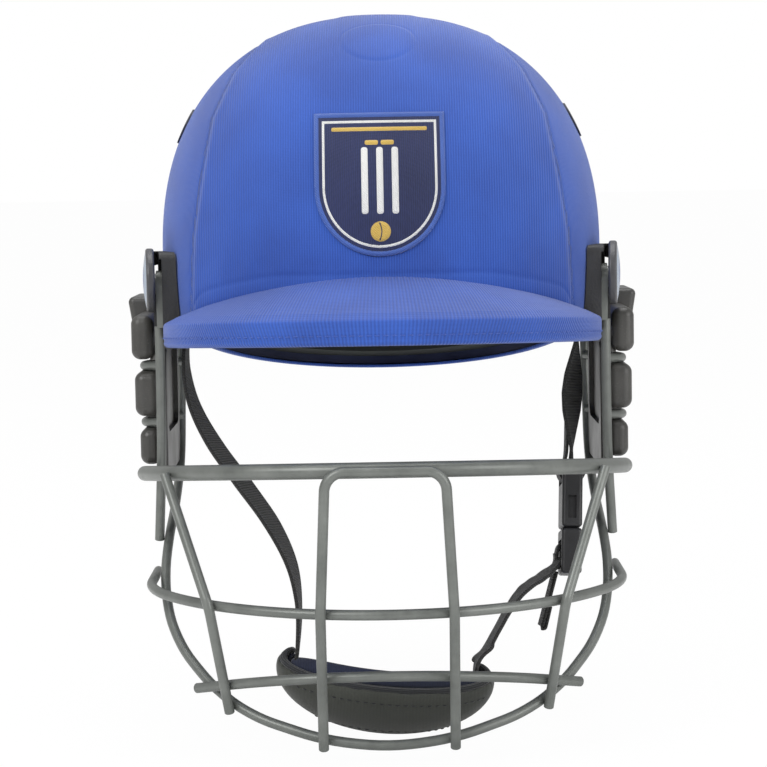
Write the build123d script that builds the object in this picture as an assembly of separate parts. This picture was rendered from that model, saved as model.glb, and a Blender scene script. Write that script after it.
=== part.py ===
"""Cricket helmet: a cloth-covered hard shell with a welded wire face guard,
moulded ear guards, and a webbing chin strap with a side-release buckle and a
padded chin cup.

Millimetres. +Z is up, -Y is the wearer's front and +X is the wearer's left.
The origin is the point where the crown pad meets the top of the wearer's head.
"""

import os
from math import atan2, cos, degrees, pi, radians, sin, sqrt, tan

from build123d import *

os.makedirs("parts", exist_ok=True)

# Form of the covered shell, on the outside of its cloth
cover_half_width = 99.4
cover_half_length = 119.0
cover_height = 106.5
widest_point_y = 6.0
plan_side_power = 2.67
side_power = 2.3
lower_reach = 190.0

# Layers from the cloth inwards
cloth_thickness = 1.2
cloth_gap = 0.1
shell_thickness = 3.0
seat_gap = 0.3
liner_thickness = 12.5
pad_thickness = 6.1

# Lower edge of the shell, by its height below the origin and by where it turns
brow_edge_z = -97.0
temple_edge_z = -118.0
ear_edge_z = -106.0
behind_ear_edge_z = -126.0
nape_edge_z = -158.5
temple_front_from_pivot = -15.0
temple_slope_length = 10.0
temple_rear_from_pivot = 28.0
ear_front_from_pivot = 42.0
ear_rear_from_pivot = 92.0
behind_ear_from_pivot = 110.0
rim_corner_radius = 7.0
hem_drop = 1.6
liner_edge_rise = 4.0
pad_edge_rise = 9.0
overrun = 40.0

# Round plug in the front of the crown
plug_diameter = 31.0
plug_front_from_front = 51.0
plug_clearance = 0.15

# Vent inserts in the sides of the shell
vent_length = 58.0
vent_height = 15.0
vent_centre_y = 2.0
vent_centre_z = -25.0
vent_slot_count = 3
vent_slot_height = 5.5
vent_bar_width = 5.0
vent_clearance = 0.2

# Patch on the brow
patch_half_width = 27.0
patch_height = 59.0
patch_top_z = -23.0
patch_straight_share = 0.52
patch_thickness = 0.8

# Liner and pad layout
liner_split_gap = 1.0
liner_crown_edge_z = -34.0
liner_front_from_pivot = -15.0
liner_rear_from_rear = -63.0
crown_pad_radius = 47.0
brow_pad_top_z = -56.0
brow_pad_rear_from_front = 55.0
side_pad_top_z = -52.0
side_pad_front_from_pivot = 28.0
side_pad_rear_from_pivot = 92.0
nape_pad_top_z = -84.0
nape_pad_front_from_rear = -51.0

# Peak, measured on the outside of its cloth
peak_centre_from_front = 49.0
peak_radius = 94.0
peak_junction_z = -90.0
peak_crest_inset = 6.0
peak_crest_drop = 15.0
peak_lip_height = 13.0
peak_lip_width = 6.5
peak_plate_thickness = 5.5
peak_crest_radius = 3.0
peak_lip_radius = 2.4
peak_underside_radius = 3.0
peak_half_sweep_deg = 87.0
peak_cap_deg = 0.8
peak_nose_up_deg = 3.5
peak_root_depth = 30.0

# Wires of the face guard
wire_diameter = 4.2
top_bar_diameter = 6.4
weld_gap = 0.05
least_bend_radius = 3.0
bend_share = 0.45

# Pivot of the face guard at each temple
pivot_from_front = 61.0
pivot_z = -94.0
pivot_screw_diameter = 5.0
pivot_running_clearance = 0.06
pivot_head_diameter = 9.0
pivot_head_thickness = 2.4
pivot_nut_diameter = 12.0
pivot_nut_depth = 6.0
liner_pocket_clearance = 1.0

# Upright beside each temple
upright_from_cover_side = -2.0
upright_foot_from_pivot = 10.5
upright_foot_z = -208.0
upright_knee_from_upright = 0.5
upright_knee_from_pivot = 2.0
upright_knee_z = -170.0
tongue_thickness = 2.8
tongue_radius = 5.8
tongue_length = 19.0
tongue_end_half_width = 2.4
tongue_inset = 0.5

# Mount block under each upright
block_front_length = 8.0
block_rear_length = 13.0
block_top_z = -80.0
block_bottom_z = -117.0
block_side_gap = 0.3
block_bridge_height = 3.0
block_rear_wall = 4.0
block_edge_radius = 3.0
block_outer_rise = 2.4
block_rib_count = 4
block_rib_depth = 0.7
block_rib_width = 1.5
block_root_depth = 14.0

# Cap over each pivot screw
cap_diameter = 27.8
cap_thickness = 3.6
cap_turn_deg = 7.0
cap_centre_rise = 1.6
cap_edge_radius = 1.1
cap_head_clearance = 0.25
label_diameter = 25.0
label_dome = 1.3

# Top bar, an oval of arcs across the front
guard_front_from_front = -45.0
top_bar_side_from_pivot = -10.0
top_bar_front_z = -164.1
top_bar_tail = 17.0
top_bar_side_radius = 75.0
top_bar_tilt_deg = 6.9

# Second bar
second_bar_from_jaw_side = 4.0
second_bar_side_from_pivot = -23.0
second_bar_front_z = -221.7
second_bar_tail = 27.0
second_bar_side_radius = 62.0
second_bar_tilt_deg = -0.4

# Third bar, one arc with straight tails
third_bar_front_from_guard_front = 12.5
third_bar_front_z = -249.0
third_bar_radius = 97.0
third_bar_half_turn_deg = 41.4
third_bar_tail = 21.0
third_bar_tilt_deg = 17.5

# Jaw wire: half width, rear line, front line, top and bottom of its loop
jaw_from_cover_side = -2.5
jaw_rear_from_pivot = 86.0
jaw_front_from_guard_front = 21.0
jaw_top_z = -116.0
jaw_bottom_z = -280.0
jaw_route_shares = (
    (0.983, 0.0, 0.0),
    (0.989, 0.018, 0.207),
    (0.989, 0.070, 0.390),
    (0.990, 0.257, 0.488),
    (0.994, 0.439, 0.552),
    (1.000, 0.526, 0.616),
    (0.987, 0.614, 0.677),
    (0.954, 0.690, 0.741),
    (0.888, 0.754, 0.805),
    (0.767, 0.833, 0.872),
    (0.650, 0.892, 0.915),
    (0.534, 0.930, 0.944),
    (0.274, 0.982, 0.985),
)

# Rungs that hook round each ear guard
rung_front_z = (-130.2, -155.2)
rung_rear_drop = 4.0
rung_outer_from_upright = 8.7
rung_front_rise = 9.0
rung_straight_rear_from_pivot = 46.0
rung_inset_from_pivot = 72.0
rung_inset_from_upright = 3.6
rung_root_share = 1.12
rung_end_share = 0.72

# Centre hoop in front of the bars
hoop_half_width = 25.3
hoop_top_half_width = 23.6
hoop_corner_radius = 8.0
hoop_foot_overhang = 0.5
hoop_foot_share = 1.02
leg_bend_radius = 10.0
hoop_bend_allowance = 0.7

# Slanting wires each side of the hoop
slant_top_share = 0.83
slant_middle_share = 0.682
slant_foot_share = 0.655
slant_foot_overhang = 0.5
slant_bend_allowance = 0.9
guard_middle_from_pivot = 12.0
guard_middle_z = -215.0

# Ear guard at each side
ear_guard_inner_from_upright = -1.5
ear_guard_outer_from_upright = 5.6
ear_guard_wall = 5.0
ear_guard_front_from_pivot = 9.0
ear_guard_rear_from_pivot = 74.0
ear_guard_top_z = -122.5
ear_guard_bottom_z = -181.0
ear_guard_corner_radius = 6.0
ear_guard_edge_radius = 2.5
ear_pocket_front_from_pivot = 17.0
ear_pocket_rear_from_pivot = 66.0
ear_pocket_bottom_z = -161.0
ear_wire_clearance = 0.4
ear_upper_inner_from_upright = 3.6
ear_upper_top_z = -101.5
ear_bulge_edge_radius = 4.0
ear_bulge_sizes = (
    # inner and outer x from the upright, front and rear y from the pivot, top z, bottom z
    (3.6, 13.4, 6.0, 54.0, -108.0, -127.6),
    (1.0, 12.2, 4.8, 60.0, -132.8, -152.6),
    (1.0, 10.4, 4.8, 57.0, -157.8, -174.0),
)
ear_wing_outer_from_upright = 18.4
ear_wing_front_from_pivot = 42.0
ear_wing_rear_from_pivot = 78.0
ear_wing_bottom_z = -127.0
ear_wing_slant = 4.0
ear_foot_top_z = -166.0
ear_foot_outer_from_upright = 1.8

# Strap rivet at each side
rivet_from_pivot = 22.0
rivet_z = -107.0
rivet_diameter = 4.0
rivet_running_clearance = 0.06
rivet_head_diameter = 9.0
rivet_head_thickness = 1.6
strap_seat_gap = 2.4
strap_pocket_front = 13.0
strap_pocket_rear = 19.0
strap_pocket_top = 12.0

# Webbing
webbing_width = 15.0
webbing_thickness = 1.6
webbing_steps = 8

# Chin cup
cup_half_width = 47.0
cup_half_depth = 27.0
cup_depth_below_rim = 25.5
cup_cover_thickness = 2.4
cup_pad_thickness = 4.0
cup_pad_gap = 0.2
cup_rear_reach = 9.0
cup_rim_height = 3.0
cup_centre_x = -1.3
cup_centre_from_rivet = -53.0
cup_centre_z = -261.0
cup_lean_deg = 6.5
cup_nod_deg = 12.0
strap_cup_gap = 5.4
cup_end_inset = 8.5

# Right-hand strap, one piece from rivet to cup
right_bow_in = 1.0
right_swing_out = 9.0
right_twist_deg = 24.0

# Buckle, in its own frame: along the strap, across it and through it
buckle_top_from_cover_side = -16.5
buckle_top_from_rivet = -5.5
buckle_top_z = -180.0
buckle_back_lean_deg = 12.6
buckle_side_lean_deg = 2.3
buckle_length = 27.0
buckle_width = 24.0
buckle_thickness = 9.0
buckle_wall = 1.8
buckle_bar_length = 4.5
buckle_bar_slot = 5.0
buckle_window_start = 8.5
buckle_window_length = 10.0
buckle_edge_radius = 1.6
insert_gap = 0.3
insert_base_length = 5.0
insert_slot_length = 4.6
insert_bar_length = 3.0
insert_bar_count = 2
insert_fit_gap = 0.25
prong_width = 2.6
prong_length = 15.0
prong_head_length = 6.0
prong_head_width = 3.4
prong_hinge_gap = 0.25
guide_width = 4.0
guide_length = 14.0
strap_loop_gap = 1.4

# Left-hand webbing
left_bow_in = 1.0
left_twist_deg = 40.0
lower_bow_up = 6.0
lower_lead_length = 4.0
insert_face_gap = 1.1
tail_length = 25.0
tail_lean_deg = 16.0

# Places worked out from the shell, so that the pieces stay together
front_y = widest_point_y - cover_half_length
rear_y = widest_point_y + cover_half_length
pivot_y = front_y + pivot_from_front
peak_centre_y = front_y + peak_centre_from_front
plug_front_y = front_y + plug_front_from_front
brow_pad_rear_y = front_y + brow_pad_rear_from_front
guard_front_y = front_y + guard_front_from_front
liner_rear_y = rear_y + liner_rear_from_rear
nape_pad_front_y = rear_y + nape_pad_front_from_rear
upright_x = cover_half_width + upright_from_cover_side
jaw_half_width = cover_half_width + jaw_from_cover_side
buckle_top_x = cover_half_width + buckle_top_from_cover_side
temple_front_y = pivot_y + temple_front_from_pivot
temple_rear_y = pivot_y + temple_rear_from_pivot
ear_front_y = pivot_y + ear_front_from_pivot
ear_rear_y = pivot_y + ear_rear_from_pivot
behind_ear_y = pivot_y + behind_ear_from_pivot
liner_front_y = pivot_y + liner_front_from_pivot
side_pad_front_y = pivot_y + side_pad_front_from_pivot
side_pad_rear_y = pivot_y + side_pad_rear_from_pivot
upright_foot_y = pivot_y + upright_foot_from_pivot
upright_knee_y = pivot_y + upright_knee_from_pivot
top_bar_side_y = pivot_y + top_bar_side_from_pivot
second_bar_side_y = pivot_y + second_bar_side_from_pivot
jaw_rear_y = pivot_y + jaw_rear_from_pivot
rung_straight_rear_y = pivot_y + rung_straight_rear_from_pivot
rung_inset_y = pivot_y + rung_inset_from_pivot
guard_middle_y = pivot_y + guard_middle_from_pivot
ear_guard_front_y = pivot_y + ear_guard_front_from_pivot
ear_guard_rear_y = pivot_y + ear_guard_rear_from_pivot
ear_pocket_front_y = pivot_y + ear_pocket_front_from_pivot
ear_pocket_rear_y = pivot_y + ear_pocket_rear_from_pivot
ear_wing_front_y = pivot_y + ear_wing_front_from_pivot
ear_wing_rear_y = pivot_y + ear_wing_rear_from_pivot
rivet_y = pivot_y + rivet_from_pivot
third_bar_front_y = guard_front_y + third_bar_front_from_guard_front
jaw_front_y = guard_front_y + jaw_front_from_guard_front
second_bar_half_width = jaw_half_width + second_bar_from_jaw_side
upright_knee_x = upright_x + upright_knee_from_upright
rung_outer_x = upright_x + rung_outer_from_upright
rung_inset_x = upright_x + rung_inset_from_upright
ear_guard_inner_x = upright_x + ear_guard_inner_from_upright
ear_guard_outer_x = upright_x + ear_guard_outer_from_upright
ear_upper_inner_x = upright_x + ear_upper_inner_from_upright
ear_wing_outer_x = upright_x + ear_wing_outer_from_upright
ear_foot_outer_x = upright_x + ear_foot_outer_from_upright
cup_centre_y = rivet_y + cup_centre_from_rivet
buckle_top_y = rivet_y + buckle_top_from_rivet

# Other values worked out from the sizes above
crown_z = (
    cloth_thickness + cloth_gap + shell_thickness + seat_gap
    + liner_thickness + seat_gap + pad_thickness
)
equator_z = crown_z - cover_height
shell_inset = cloth_thickness + cloth_gap
liner_inset = shell_inset + shell_thickness + seat_gap
pad_inset = liner_inset + liner_thickness + seat_gap
dome_floor_z = nape_edge_z - overrun
side_reach = cover_half_width + overrun
tongue_inner_x = upright_x - wire_diameter / 2
tongue_outer_x = tongue_inner_x + tongue_thickness
block_face_x = tongue_inner_x - block_side_gap
wire_spacing = wire_diameter + weld_gap
jaw_x_share_at_foot = jaw_route_shares[4][0]
upright_foot_x = jaw_half_width * jaw_x_share_at_foot + wire_spacing + 2 * weld_gap
top_bar_side_z = top_bar_front_z - (pivot_y - guard_front_y) * sin(radians(top_bar_tilt_deg))
foot_share = (upright_knee_z - top_bar_side_z) / (upright_knee_z - upright_foot_z)
upright_at_top_bar_x = upright_knee_x + (upright_foot_x - upright_knee_x) * foot_share
top_bar_half_width = upright_at_top_bar_x + (wire_diameter + top_bar_diameter) / 2 + 2 * weld_gap


def keep(node, shape):
    """Write one node's solids."""
    export_step(shape, "parts/" + node + ".step")


def block_between(low, high):
    """A box from its lowest corner to its highest."""
    size = [top - bottom for bottom, top in zip(low, high)]
    middle = [(top + bottom) / 2 for bottom, top in zip(low, high)]
    return Pos(*middle) * Box(*size)


def both_sides(node, shape):
    """Write a piece made for the wearer's left, and its mirror image."""
    keep("left_" + node, shape)
    keep("right_" + node, mirror(shape, about=Plane.YZ))


def along_x(radius, x_low, x_high, y, z):
    """A round bar along X."""
    return Pos((x_low + x_high) / 2, y, z) * Rot(0, 90, 0) * Cylinder(radius, x_high - x_low)


# Domes: nested forms that share one outline and step inwards layer by layer
def plan_quarter(share, inset):
    """A quarter of the helmet's outline at one height, from +X round to +Y."""
    half_width = (cover_half_width - inset) * share
    half_length = (cover_half_length - inset) * share
    points = []
    for angle in (0, 13, 27, 42, 57, 70, 81):
        reach_x = half_width * cos(radians(angle))
        reach_y = half_length * sin(radians(angle)) ** (2 / plan_side_power)
        points.append((reach_x, reach_y, 0))
    points.append((0, half_length, 0))
    return Spline(*points, tangents=[(0, 1, 0), (-1, 0, 0)])


def plan_face(z, share, inset):
    """The helmet's outline at one height, filled in."""
    quarter = plan_quarter(share, inset)
    half = [quarter, mirror(quarter, about=Plane.YZ)]
    edges = half + [mirror(edge, about=Plane.XZ) for edge in half]
    return Pos(0, widest_point_y, z) * make_face(edges)


def dome(inset):
    """The form of the helmet, moved inwards by inset, down to a flat floor."""
    faces = []
    for floor_share in (1, 0.62, 0.3):
        drop = (equator_z - dome_floor_z) * floor_share
        share = sqrt(1 - (drop / lower_reach) ** 2)
        faces.append(plan_face(equator_z - drop, share, inset))
    for angle in (0, 14, 28, 41, 53, 64, 73, 80, 86):
        rise = (cover_height - inset) * sin(radians(angle)) ** (2 / side_power)
        share = cos(radians(angle)) ** (2 / side_power)
        faces.append(plan_face(equator_z + rise, share, inset))
    return loft(faces)


def surface_x(form, y, z):
    """How far out a form reaches along X at one place."""
    probe = along_x(pivot_running_clearance, 0, side_reach, y, z)
    return (form & probe).bounding_box().max.X


def below_rim(rise):
    """Everything under the helmet's lower edge, the edge moved up by rise."""
    corners = [
        (front_y - overrun, brow_edge_z),
        (temple_front_y - temple_slope_length, brow_edge_z),
        (temple_front_y, temple_edge_z),
        (temple_rear_y, temple_edge_z),
        (ear_front_y, ear_edge_z),
        (ear_rear_y, ear_edge_z),
        (behind_ear_y, behind_ear_edge_z),
        (rear_y + overrun, nape_edge_z),
    ]
    raised = [(y, z + rise) for y, z in corners]
    floor = dome_floor_z - overrun
    closing = [(rear_y + overrun, floor), (front_y - overrun, floor)]
    radii = [0] + [rim_corner_radius] * (len(corners) - 2) + [0, 0, 0]
    outline = FilletPolyline(*(raised + closing), radius=radii, close=True)
    return extrude(Plane.YZ * make_face(outline), side_reach, both=True)


def slot_prism(length, height, y, z):
    """A round-ended slot through both sides of the helmet."""
    slot = Pos(y, z) * SlotOverall(length, height)
    return extrude(Plane.YZ * slot, side_reach, both=True)


cover_dome = dome(0)
cloth_inner_dome = dome(cloth_thickness)
shell_outer_dome = dome(shell_inset)
shell_inner_dome = dome(shell_inset + shell_thickness)
liner_outer_dome = dome(liner_inset)
liner_inner_dome = dome(liner_inset + liner_thickness)
pad_outer_dome = dome(pad_inset)
pad_inner_dome = dome(pad_inset + pad_thickness)
rim_cut = below_rim(0)

# Round plug, set square to the form at the front of the crown
plug_rise = -equator_z
plug_direction = Vector(0, plug_front_y - widest_point_y, plug_rise).normalized()
plug_plane = Plane(origin=(0, plug_front_y, 0), x_dir=(1, 0, 0), z_dir=plug_direction)
plug_bore = plug_plane * Cylinder(plug_diameter / 2, overrun)
plug_core = plug_plane * Cylinder(plug_diameter / 2 - plug_clearance, overrun)

# Vent openings at both sides
vent_opening = slot_prism(vent_length, vent_height, vent_centre_y, vent_centre_z)
vent_core = slot_prism(
    vent_length - 2 * vent_clearance, vent_height - 2 * vent_clearance,
    vent_centre_y, vent_centre_z,
)
vent_slot_length = (
    vent_length - vent_height - (vent_slot_count - 1) * vent_bar_width
) / vent_slot_count
vent_pitch = vent_slot_length + vent_bar_width

# Holes for the pivot screws and strap rivets
pivot_hole_radius = pivot_screw_diameter / 2 + pivot_running_clearance
rivet_hole_radius = rivet_diameter / 2 + rivet_running_clearance
pivot_hole = along_x(pivot_hole_radius, -side_reach, side_reach, pivot_y, pivot_z)
rivet_hole = along_x(rivet_hole_radius, -side_reach, side_reach, rivet_y, rivet_z)

# Outer shell
shell_wall = (shell_outer_dome - shell_inner_dome) - rim_cut
crown_plug = shell_wall & plug_core
outer_shell = shell_wall - plug_bore - vent_opening - pivot_hole - rivet_hole
keep("outer_shell", outer_shell)
keep("crown_plug", crown_plug)

# Cloth cover: a skin over the shell that turns in under the shell's lower edge
cover_blank = (cover_dome - shell_inner_dome) - below_rim(-hem_drop)
shell_room = (dome(cloth_thickness) - below_rim(-cloth_gap))
crown_cover = cover_blank - shell_room - vent_opening - pivot_hole
keep("crown_cover", crown_cover)

# Vent inserts, each with a row of round-ended slots
vent_wall = ((dome(-seat_gap) - shell_inner_dome) & vent_core)
for index in range(vent_slot_count):
    slot_y = vent_centre_y + (index - (vent_slot_count - 1) / 2) * vent_pitch
    vent_wall -= slot_prism(vent_slot_length, vent_slot_height, slot_y, vent_centre_z)
left_half = block_between((0, -side_reach, dome_floor_z), (side_reach, side_reach, overrun))
both_sides("vent", vent_wall & left_half)


# Patch on the brow: a plain shield that follows the form
def patch_face(margin):
    """The shield's outline, seen from the front, drawn in by margin."""
    half_width = patch_half_width - margin
    top = patch_top_z - margin
    shoulder = patch_top_z - patch_height * patch_straight_share
    point = patch_top_z - patch_height + margin
    belly_x = half_width * cos(radians(30))
    belly_z = shoulder + (point - shoulder) * sin(radians(30))
    edges = [
        Line((-half_width, top), (half_width, top)),
        Line((half_width, top), (half_width, shoulder)),
        ThreePointArc((half_width, shoulder), (belly_x, belly_z), (0, point)),
        ThreePointArc((0, point), (-belly_x, belly_z), (-half_width, shoulder)),
        Line((-half_width, shoulder), (-half_width, top)),
    ]
    return make_face(edges)


patch_prism = Pos(0, front_y + overrun / 2, 0) * extrude(Plane.XZ * patch_face(0), overrun)
patch_layer = dome(-cloth_gap - patch_thickness) - dome(-cloth_gap)
keep("front_patch", patch_layer & patch_prism)

# Impact liner in five pieces, with pockets for the nuts and the strap ends
pocket_half = pivot_nut_diameter / 2 + liner_pocket_clearance
nut_pocket = block_between(
    (-side_reach, pivot_y - pocket_half, pivot_z - pocket_half),
    (side_reach, pivot_y + pocket_half, pivot_z + pocket_half),
)
strap_pocket = block_between(
    (-side_reach, rivet_y - strap_pocket_front, dome_floor_z),
    (side_reach, rivet_y + strap_pocket_rear, rivet_z + strap_pocket_top),
)
liner = (liner_outer_dome - liner_inner_dome) - below_rim(liner_edge_rise)
liner = liner - nut_pocket - strap_pocket
half_gap = liner_split_gap / 2
low_z = dome_floor_z
liner_top = block_between(
    (-side_reach, -side_reach, liner_crown_edge_z + half_gap),
    (side_reach, side_reach, crown_z + overrun),
)
liner_front = block_between(
    (-side_reach, -side_reach, low_z),
    (side_reach, liner_front_y - half_gap, liner_crown_edge_z - half_gap),
)
liner_rear = block_between(
    (-side_reach, liner_rear_y + half_gap, low_z),
    (side_reach, side_reach, liner_crown_edge_z - half_gap),
)
liner_side = block_between(
    (0, liner_front_y + half_gap, low_z),
    (side_reach, liner_rear_y - half_gap, liner_crown_edge_z - half_gap),
)
keep("crown_liner", liner & liner_top)
keep("front_liner", liner & liner_front)
keep("rear_liner", liner & liner_rear)
both_sides("liner", liner & liner_side)

# Comfort pads on the liner
pads = (pad_outer_dome - pad_inner_dome) - below_rim(pad_edge_rise)
crown_pad_room = Pos(0, widest_point_y, 0) * Cylinder(crown_pad_radius, 2 * overrun)
brow_pad_room = block_between(
    (-side_reach, -side_reach, low_z), (side_reach, brow_pad_rear_y, brow_pad_top_z)
)
nape_pad_room = block_between(
    (-side_reach, nape_pad_front_y, low_z), (side_reach, side_reach, nape_pad_top_z)
)
side_pad_room = block_between(
    (0, side_pad_front_y, low_z), (side_reach, side_pad_rear_y, side_pad_top_z)
)
keep("crown_pad", pads & crown_pad_room)
keep("brow_pad", pads & brow_pad_room)
keep("nape_pad", pads & nape_pad_room)
both_sides("pad", pads & side_pad_room)

# Peak: one section turned about an upright axis, then tipped nose up
crest_r = peak_radius - peak_crest_inset
peak_root_r = peak_centre_y - front_y - peak_root_depth
crest_z = peak_junction_z - peak_crest_drop
crest_run = crest_r - (peak_centre_y - front_y)
top_slope = peak_crest_drop / crest_run
root_z = peak_junction_z + top_slope * peak_root_depth
lip_bottom_z = crest_z - peak_lip_height


def peak_section(inset):
    """The peak's cut face, drawn in by inset, in its radius and its height."""
    lip_inner_r = peak_radius - peak_lip_width + inset
    plate_drop = peak_plate_thickness - 2 * inset
    corners = [
        (peak_root_r, root_z - inset),
        (crest_r - inset / 2, crest_z - inset),
        (peak_radius - inset, crest_z - peak_crest_inset / 2 - inset / 2),
        (peak_radius - inset, lip_bottom_z + inset),
        (lip_inner_r, lip_bottom_z + inset),
        (lip_inner_r, crest_z - peak_plate_thickness + inset),
        (peak_root_r, root_z - inset - plate_drop),
    ]
    radii = [
        0,
        peak_crest_radius,
        peak_crest_radius / 2,
        peak_lip_radius,
        peak_lip_radius / 2,
        peak_underside_radius / 2,
        0,
    ]
    return make_face(FilletPolyline(*corners, radius=radii, close=True))


def turned_peak(section, half_sweep):
    """The section swept round the front of the helmet."""
    upright_face = Plane.XZ * section
    swept = revolve(upright_face, Axis.Z, 2 * half_sweep)
    centred = Rot(0, 0, -90 - half_sweep) * swept
    tip_point = Pos(0, front_y, peak_junction_z)
    moved = Pos(0, peak_centre_y, 0) * centred
    return tip_point * Rot(-peak_nose_up_deg, 0, 0) * tip_point.inverse() * moved


cloth_inset = cloth_thickness + cloth_gap
core_sweep = peak_half_sweep_deg - peak_cap_deg
peak_seat = dome(-seat_gap)
peak_core = turned_peak(peak_section(cloth_inset), core_sweep) - peak_seat
peak_room = turned_peak(peak_section(cloth_thickness), core_sweep)
peak_cover = turned_peak(peak_section(0), peak_half_sweep_deg) - peak_room - peak_seat
keep("peak", peak_core)
keep("peak_cover", peak_cover)


# Wires: round bars along straight runs joined by tangent arcs
def widest_bends(points):
    """For each inner point, the largest bend that its two runs leave room for."""
    radii = []
    for before, here, after in zip(points, points[1:], points[2:]):
        run_in = Vector(*here) - Vector(*before)
        run_out = Vector(*after) - Vector(*here)
        half_turn = radians(run_in.get_angle(run_out)) / 2
        shorter = min(run_in.length, run_out.length)
        radii.append(max(bend_share * shorter / tan(half_turn), least_bend_radius))
    return radii


def bar_along(path, diameter):
    """A round bar that follows a path."""
    start = Plane(origin=path @ 0, z_dir=path % 0)
    return sweep(start * Circle(diameter / 2), path=path)


def bent_wire(points, diameter, radii=None):
    """A wire bent at each inner point."""
    path = FilletPolyline(*points, radius=radii or widest_bends(points))
    return bar_along(path, diameter)


# Eye and flattened tongue at the top of each upright
tongue_outline = Polyline(
    (-tongue_radius, 0), (tongue_radius, 0),
    (tongue_end_half_width, -tongue_length), (-tongue_end_half_width, -tongue_length),
    close=True,
)
tongue_face = make_face(tongue_outline) + Circle(tongue_radius) - Circle(pivot_hole_radius)
tongue_plane = Plane(origin=(tongue_inner_x, pivot_y, pivot_z), x_dir=(0, 1, 0), z_dir=(1, 0, 0))
tongue = extrude(tongue_plane * tongue_face, tongue_thickness)
upright_points = [
    (upright_x, pivot_y, pivot_z - tongue_length + tongue_inset),
    (upright_x, pivot_y, (pivot_z + upright_knee_z) / 2),
    (upright_knee_x, upright_knee_y, upright_knee_z),
    (upright_foot_x, upright_foot_y, upright_foot_z),
]
both_sides("upright", bent_wire(upright_points, wire_diameter) + tongue)


# Ovals of three arcs with straight tails, for the two upper bars
def oval_front_radius(half_width, depth, side_radius):
    """Radius of the arc across the front, tangent to both side arcs."""
    room = half_width**2 + depth**2 - 2 * half_width * side_radius
    return room / (2 * (depth - side_radius))


def oval_path(half_width, depth, side_radius, tail):
    """Half an oval about the origin that opens towards +Y, with straight tails."""
    front_radius = oval_front_radius(half_width, depth, side_radius)
    lean = degrees(atan2(half_width - side_radius, front_radius - depth))
    side_turn = 90 - lean
    start = Line((half_width, tail), (half_width, 0))
    right = JernArc(start=start @ 1, tangent=(0, -1), radius=side_radius, arc_size=-side_turn)
    front = JernArc(start=right @ 1, tangent=right % 1, radius=front_radius, arc_size=-2 * lean)
    left = JernArc(start=front @ 1, tangent=front % 1, radius=side_radius, arc_size=-side_turn)
    end = Line(left @ 1, (-half_width, tail))
    return Wire([start, right, front, left, end])


def oval_point(half_width, depth, side_radius, x):
    """Where the oval passes x, and which way is outwards there."""
    front_radius = oval_front_radius(half_width, depth, side_radius)
    side_centre = half_width - side_radius
    lean = atan2(side_centre, front_radius - depth)
    if x > side_centre + side_radius * sin(lean):
        out_x = (x - side_centre) / side_radius
    else:
        out_x = x / front_radius
    out_y = -sqrt(1 - out_x**2)
    if x > side_centre + side_radius * sin(lean):
        return side_radius * out_y, Vector(out_x, out_y, 0)
    return front_radius - depth + front_radius * out_y, Vector(out_x, out_y, 0)


top_bar_depth = top_bar_side_y - guard_front_y
second_bar_depth = second_bar_side_y - guard_front_y
top_bar_front = Pos(0, guard_front_y, top_bar_front_z) * Rot(-top_bar_tilt_deg, 0, 0)
second_bar_front = Pos(0, guard_front_y, second_bar_front_z) * Rot(-second_bar_tilt_deg, 0, 0)
top_bar_path = oval_path(
    top_bar_half_width, top_bar_depth, top_bar_side_radius, top_bar_tail
)
second_bar_path = oval_path(
    second_bar_half_width, second_bar_depth, second_bar_side_radius, second_bar_tail
)
top_bar = top_bar_front * Pos(0, top_bar_depth, 0) * bar_along(top_bar_path, top_bar_diameter)
second_bar = (
    second_bar_front * Pos(0, second_bar_depth, 0) * bar_along(second_bar_path, wire_diameter)
)
keep("top_bar", top_bar)
keep("second_bar", second_bar)


def on_top_bar(x):
    """A point of the top bar's centre line, and outwards there."""
    y, out = oval_point(top_bar_half_width, top_bar_depth, top_bar_side_radius, x)
    place = top_bar_front * Pos(x, y + top_bar_depth, 0)
    return place.position, out


def on_second_bar(x):
    """A point of the second bar's centre line, and outwards there."""
    y, out = oval_point(second_bar_half_width, second_bar_depth, second_bar_side_radius, x)
    place = second_bar_front * Pos(x, y + second_bar_depth, 0)
    return place.position, out


# Third bar
third_turn = radians(third_bar_half_turn_deg)
third_half_chord = third_bar_radius * sin(third_turn)
third_sag = third_bar_radius * (1 - cos(third_turn))
third_arc = ThreePointArc((third_half_chord, third_sag), (0, 0), (-third_half_chord, third_sag))
tail_step = (third_bar_tail * cos(third_turn), third_bar_tail * sin(third_turn))
third_bar_path = Wire([
    Line((third_half_chord + tail_step[0], third_sag + tail_step[1]),
         (third_half_chord, third_sag)),
    third_arc,
    Line((-third_half_chord, third_sag),
         (-third_half_chord - tail_step[0], third_sag + tail_step[1])),
])
third_bar_front = Pos(0, third_bar_front_y, third_bar_front_z) * Rot(-third_bar_tilt_deg, 0, 0)
keep("third_bar", third_bar_front * bar_along(third_bar_path, wire_diameter))

# Jaw wire, from behind one ear round under the chin to the other
jaw_left = []
for x_share, y_share, z_share in jaw_route_shares:
    jaw_left.append((
        jaw_half_width * x_share,
        jaw_rear_y + (jaw_front_y - jaw_rear_y) * y_share,
        jaw_top_z + (jaw_bottom_z - jaw_top_z) * z_share,
    ))
jaw_right = [(-x, y, z) for x, y, z in reversed(jaw_left)]
jaw_points = jaw_left + [(0, jaw_front_y, jaw_bottom_z)] + jaw_right
keep("jaw_wire", bent_wire(jaw_points, wire_diameter))


def on_jaw_wire(x):
    """A point of the jaw wire's front stretch at x, by its straight runs."""
    front = [(0, jaw_front_y, jaw_bottom_z)] + list(reversed(jaw_left))
    for near, far in zip(front, front[1:]):
        if near[0] <= x < far[0]:
            share = (x - near[0]) / (far[0] - near[0])
            return Vector(*near) + (Vector(*far) - Vector(*near)) * share
    return Vector(*front[-1])


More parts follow.
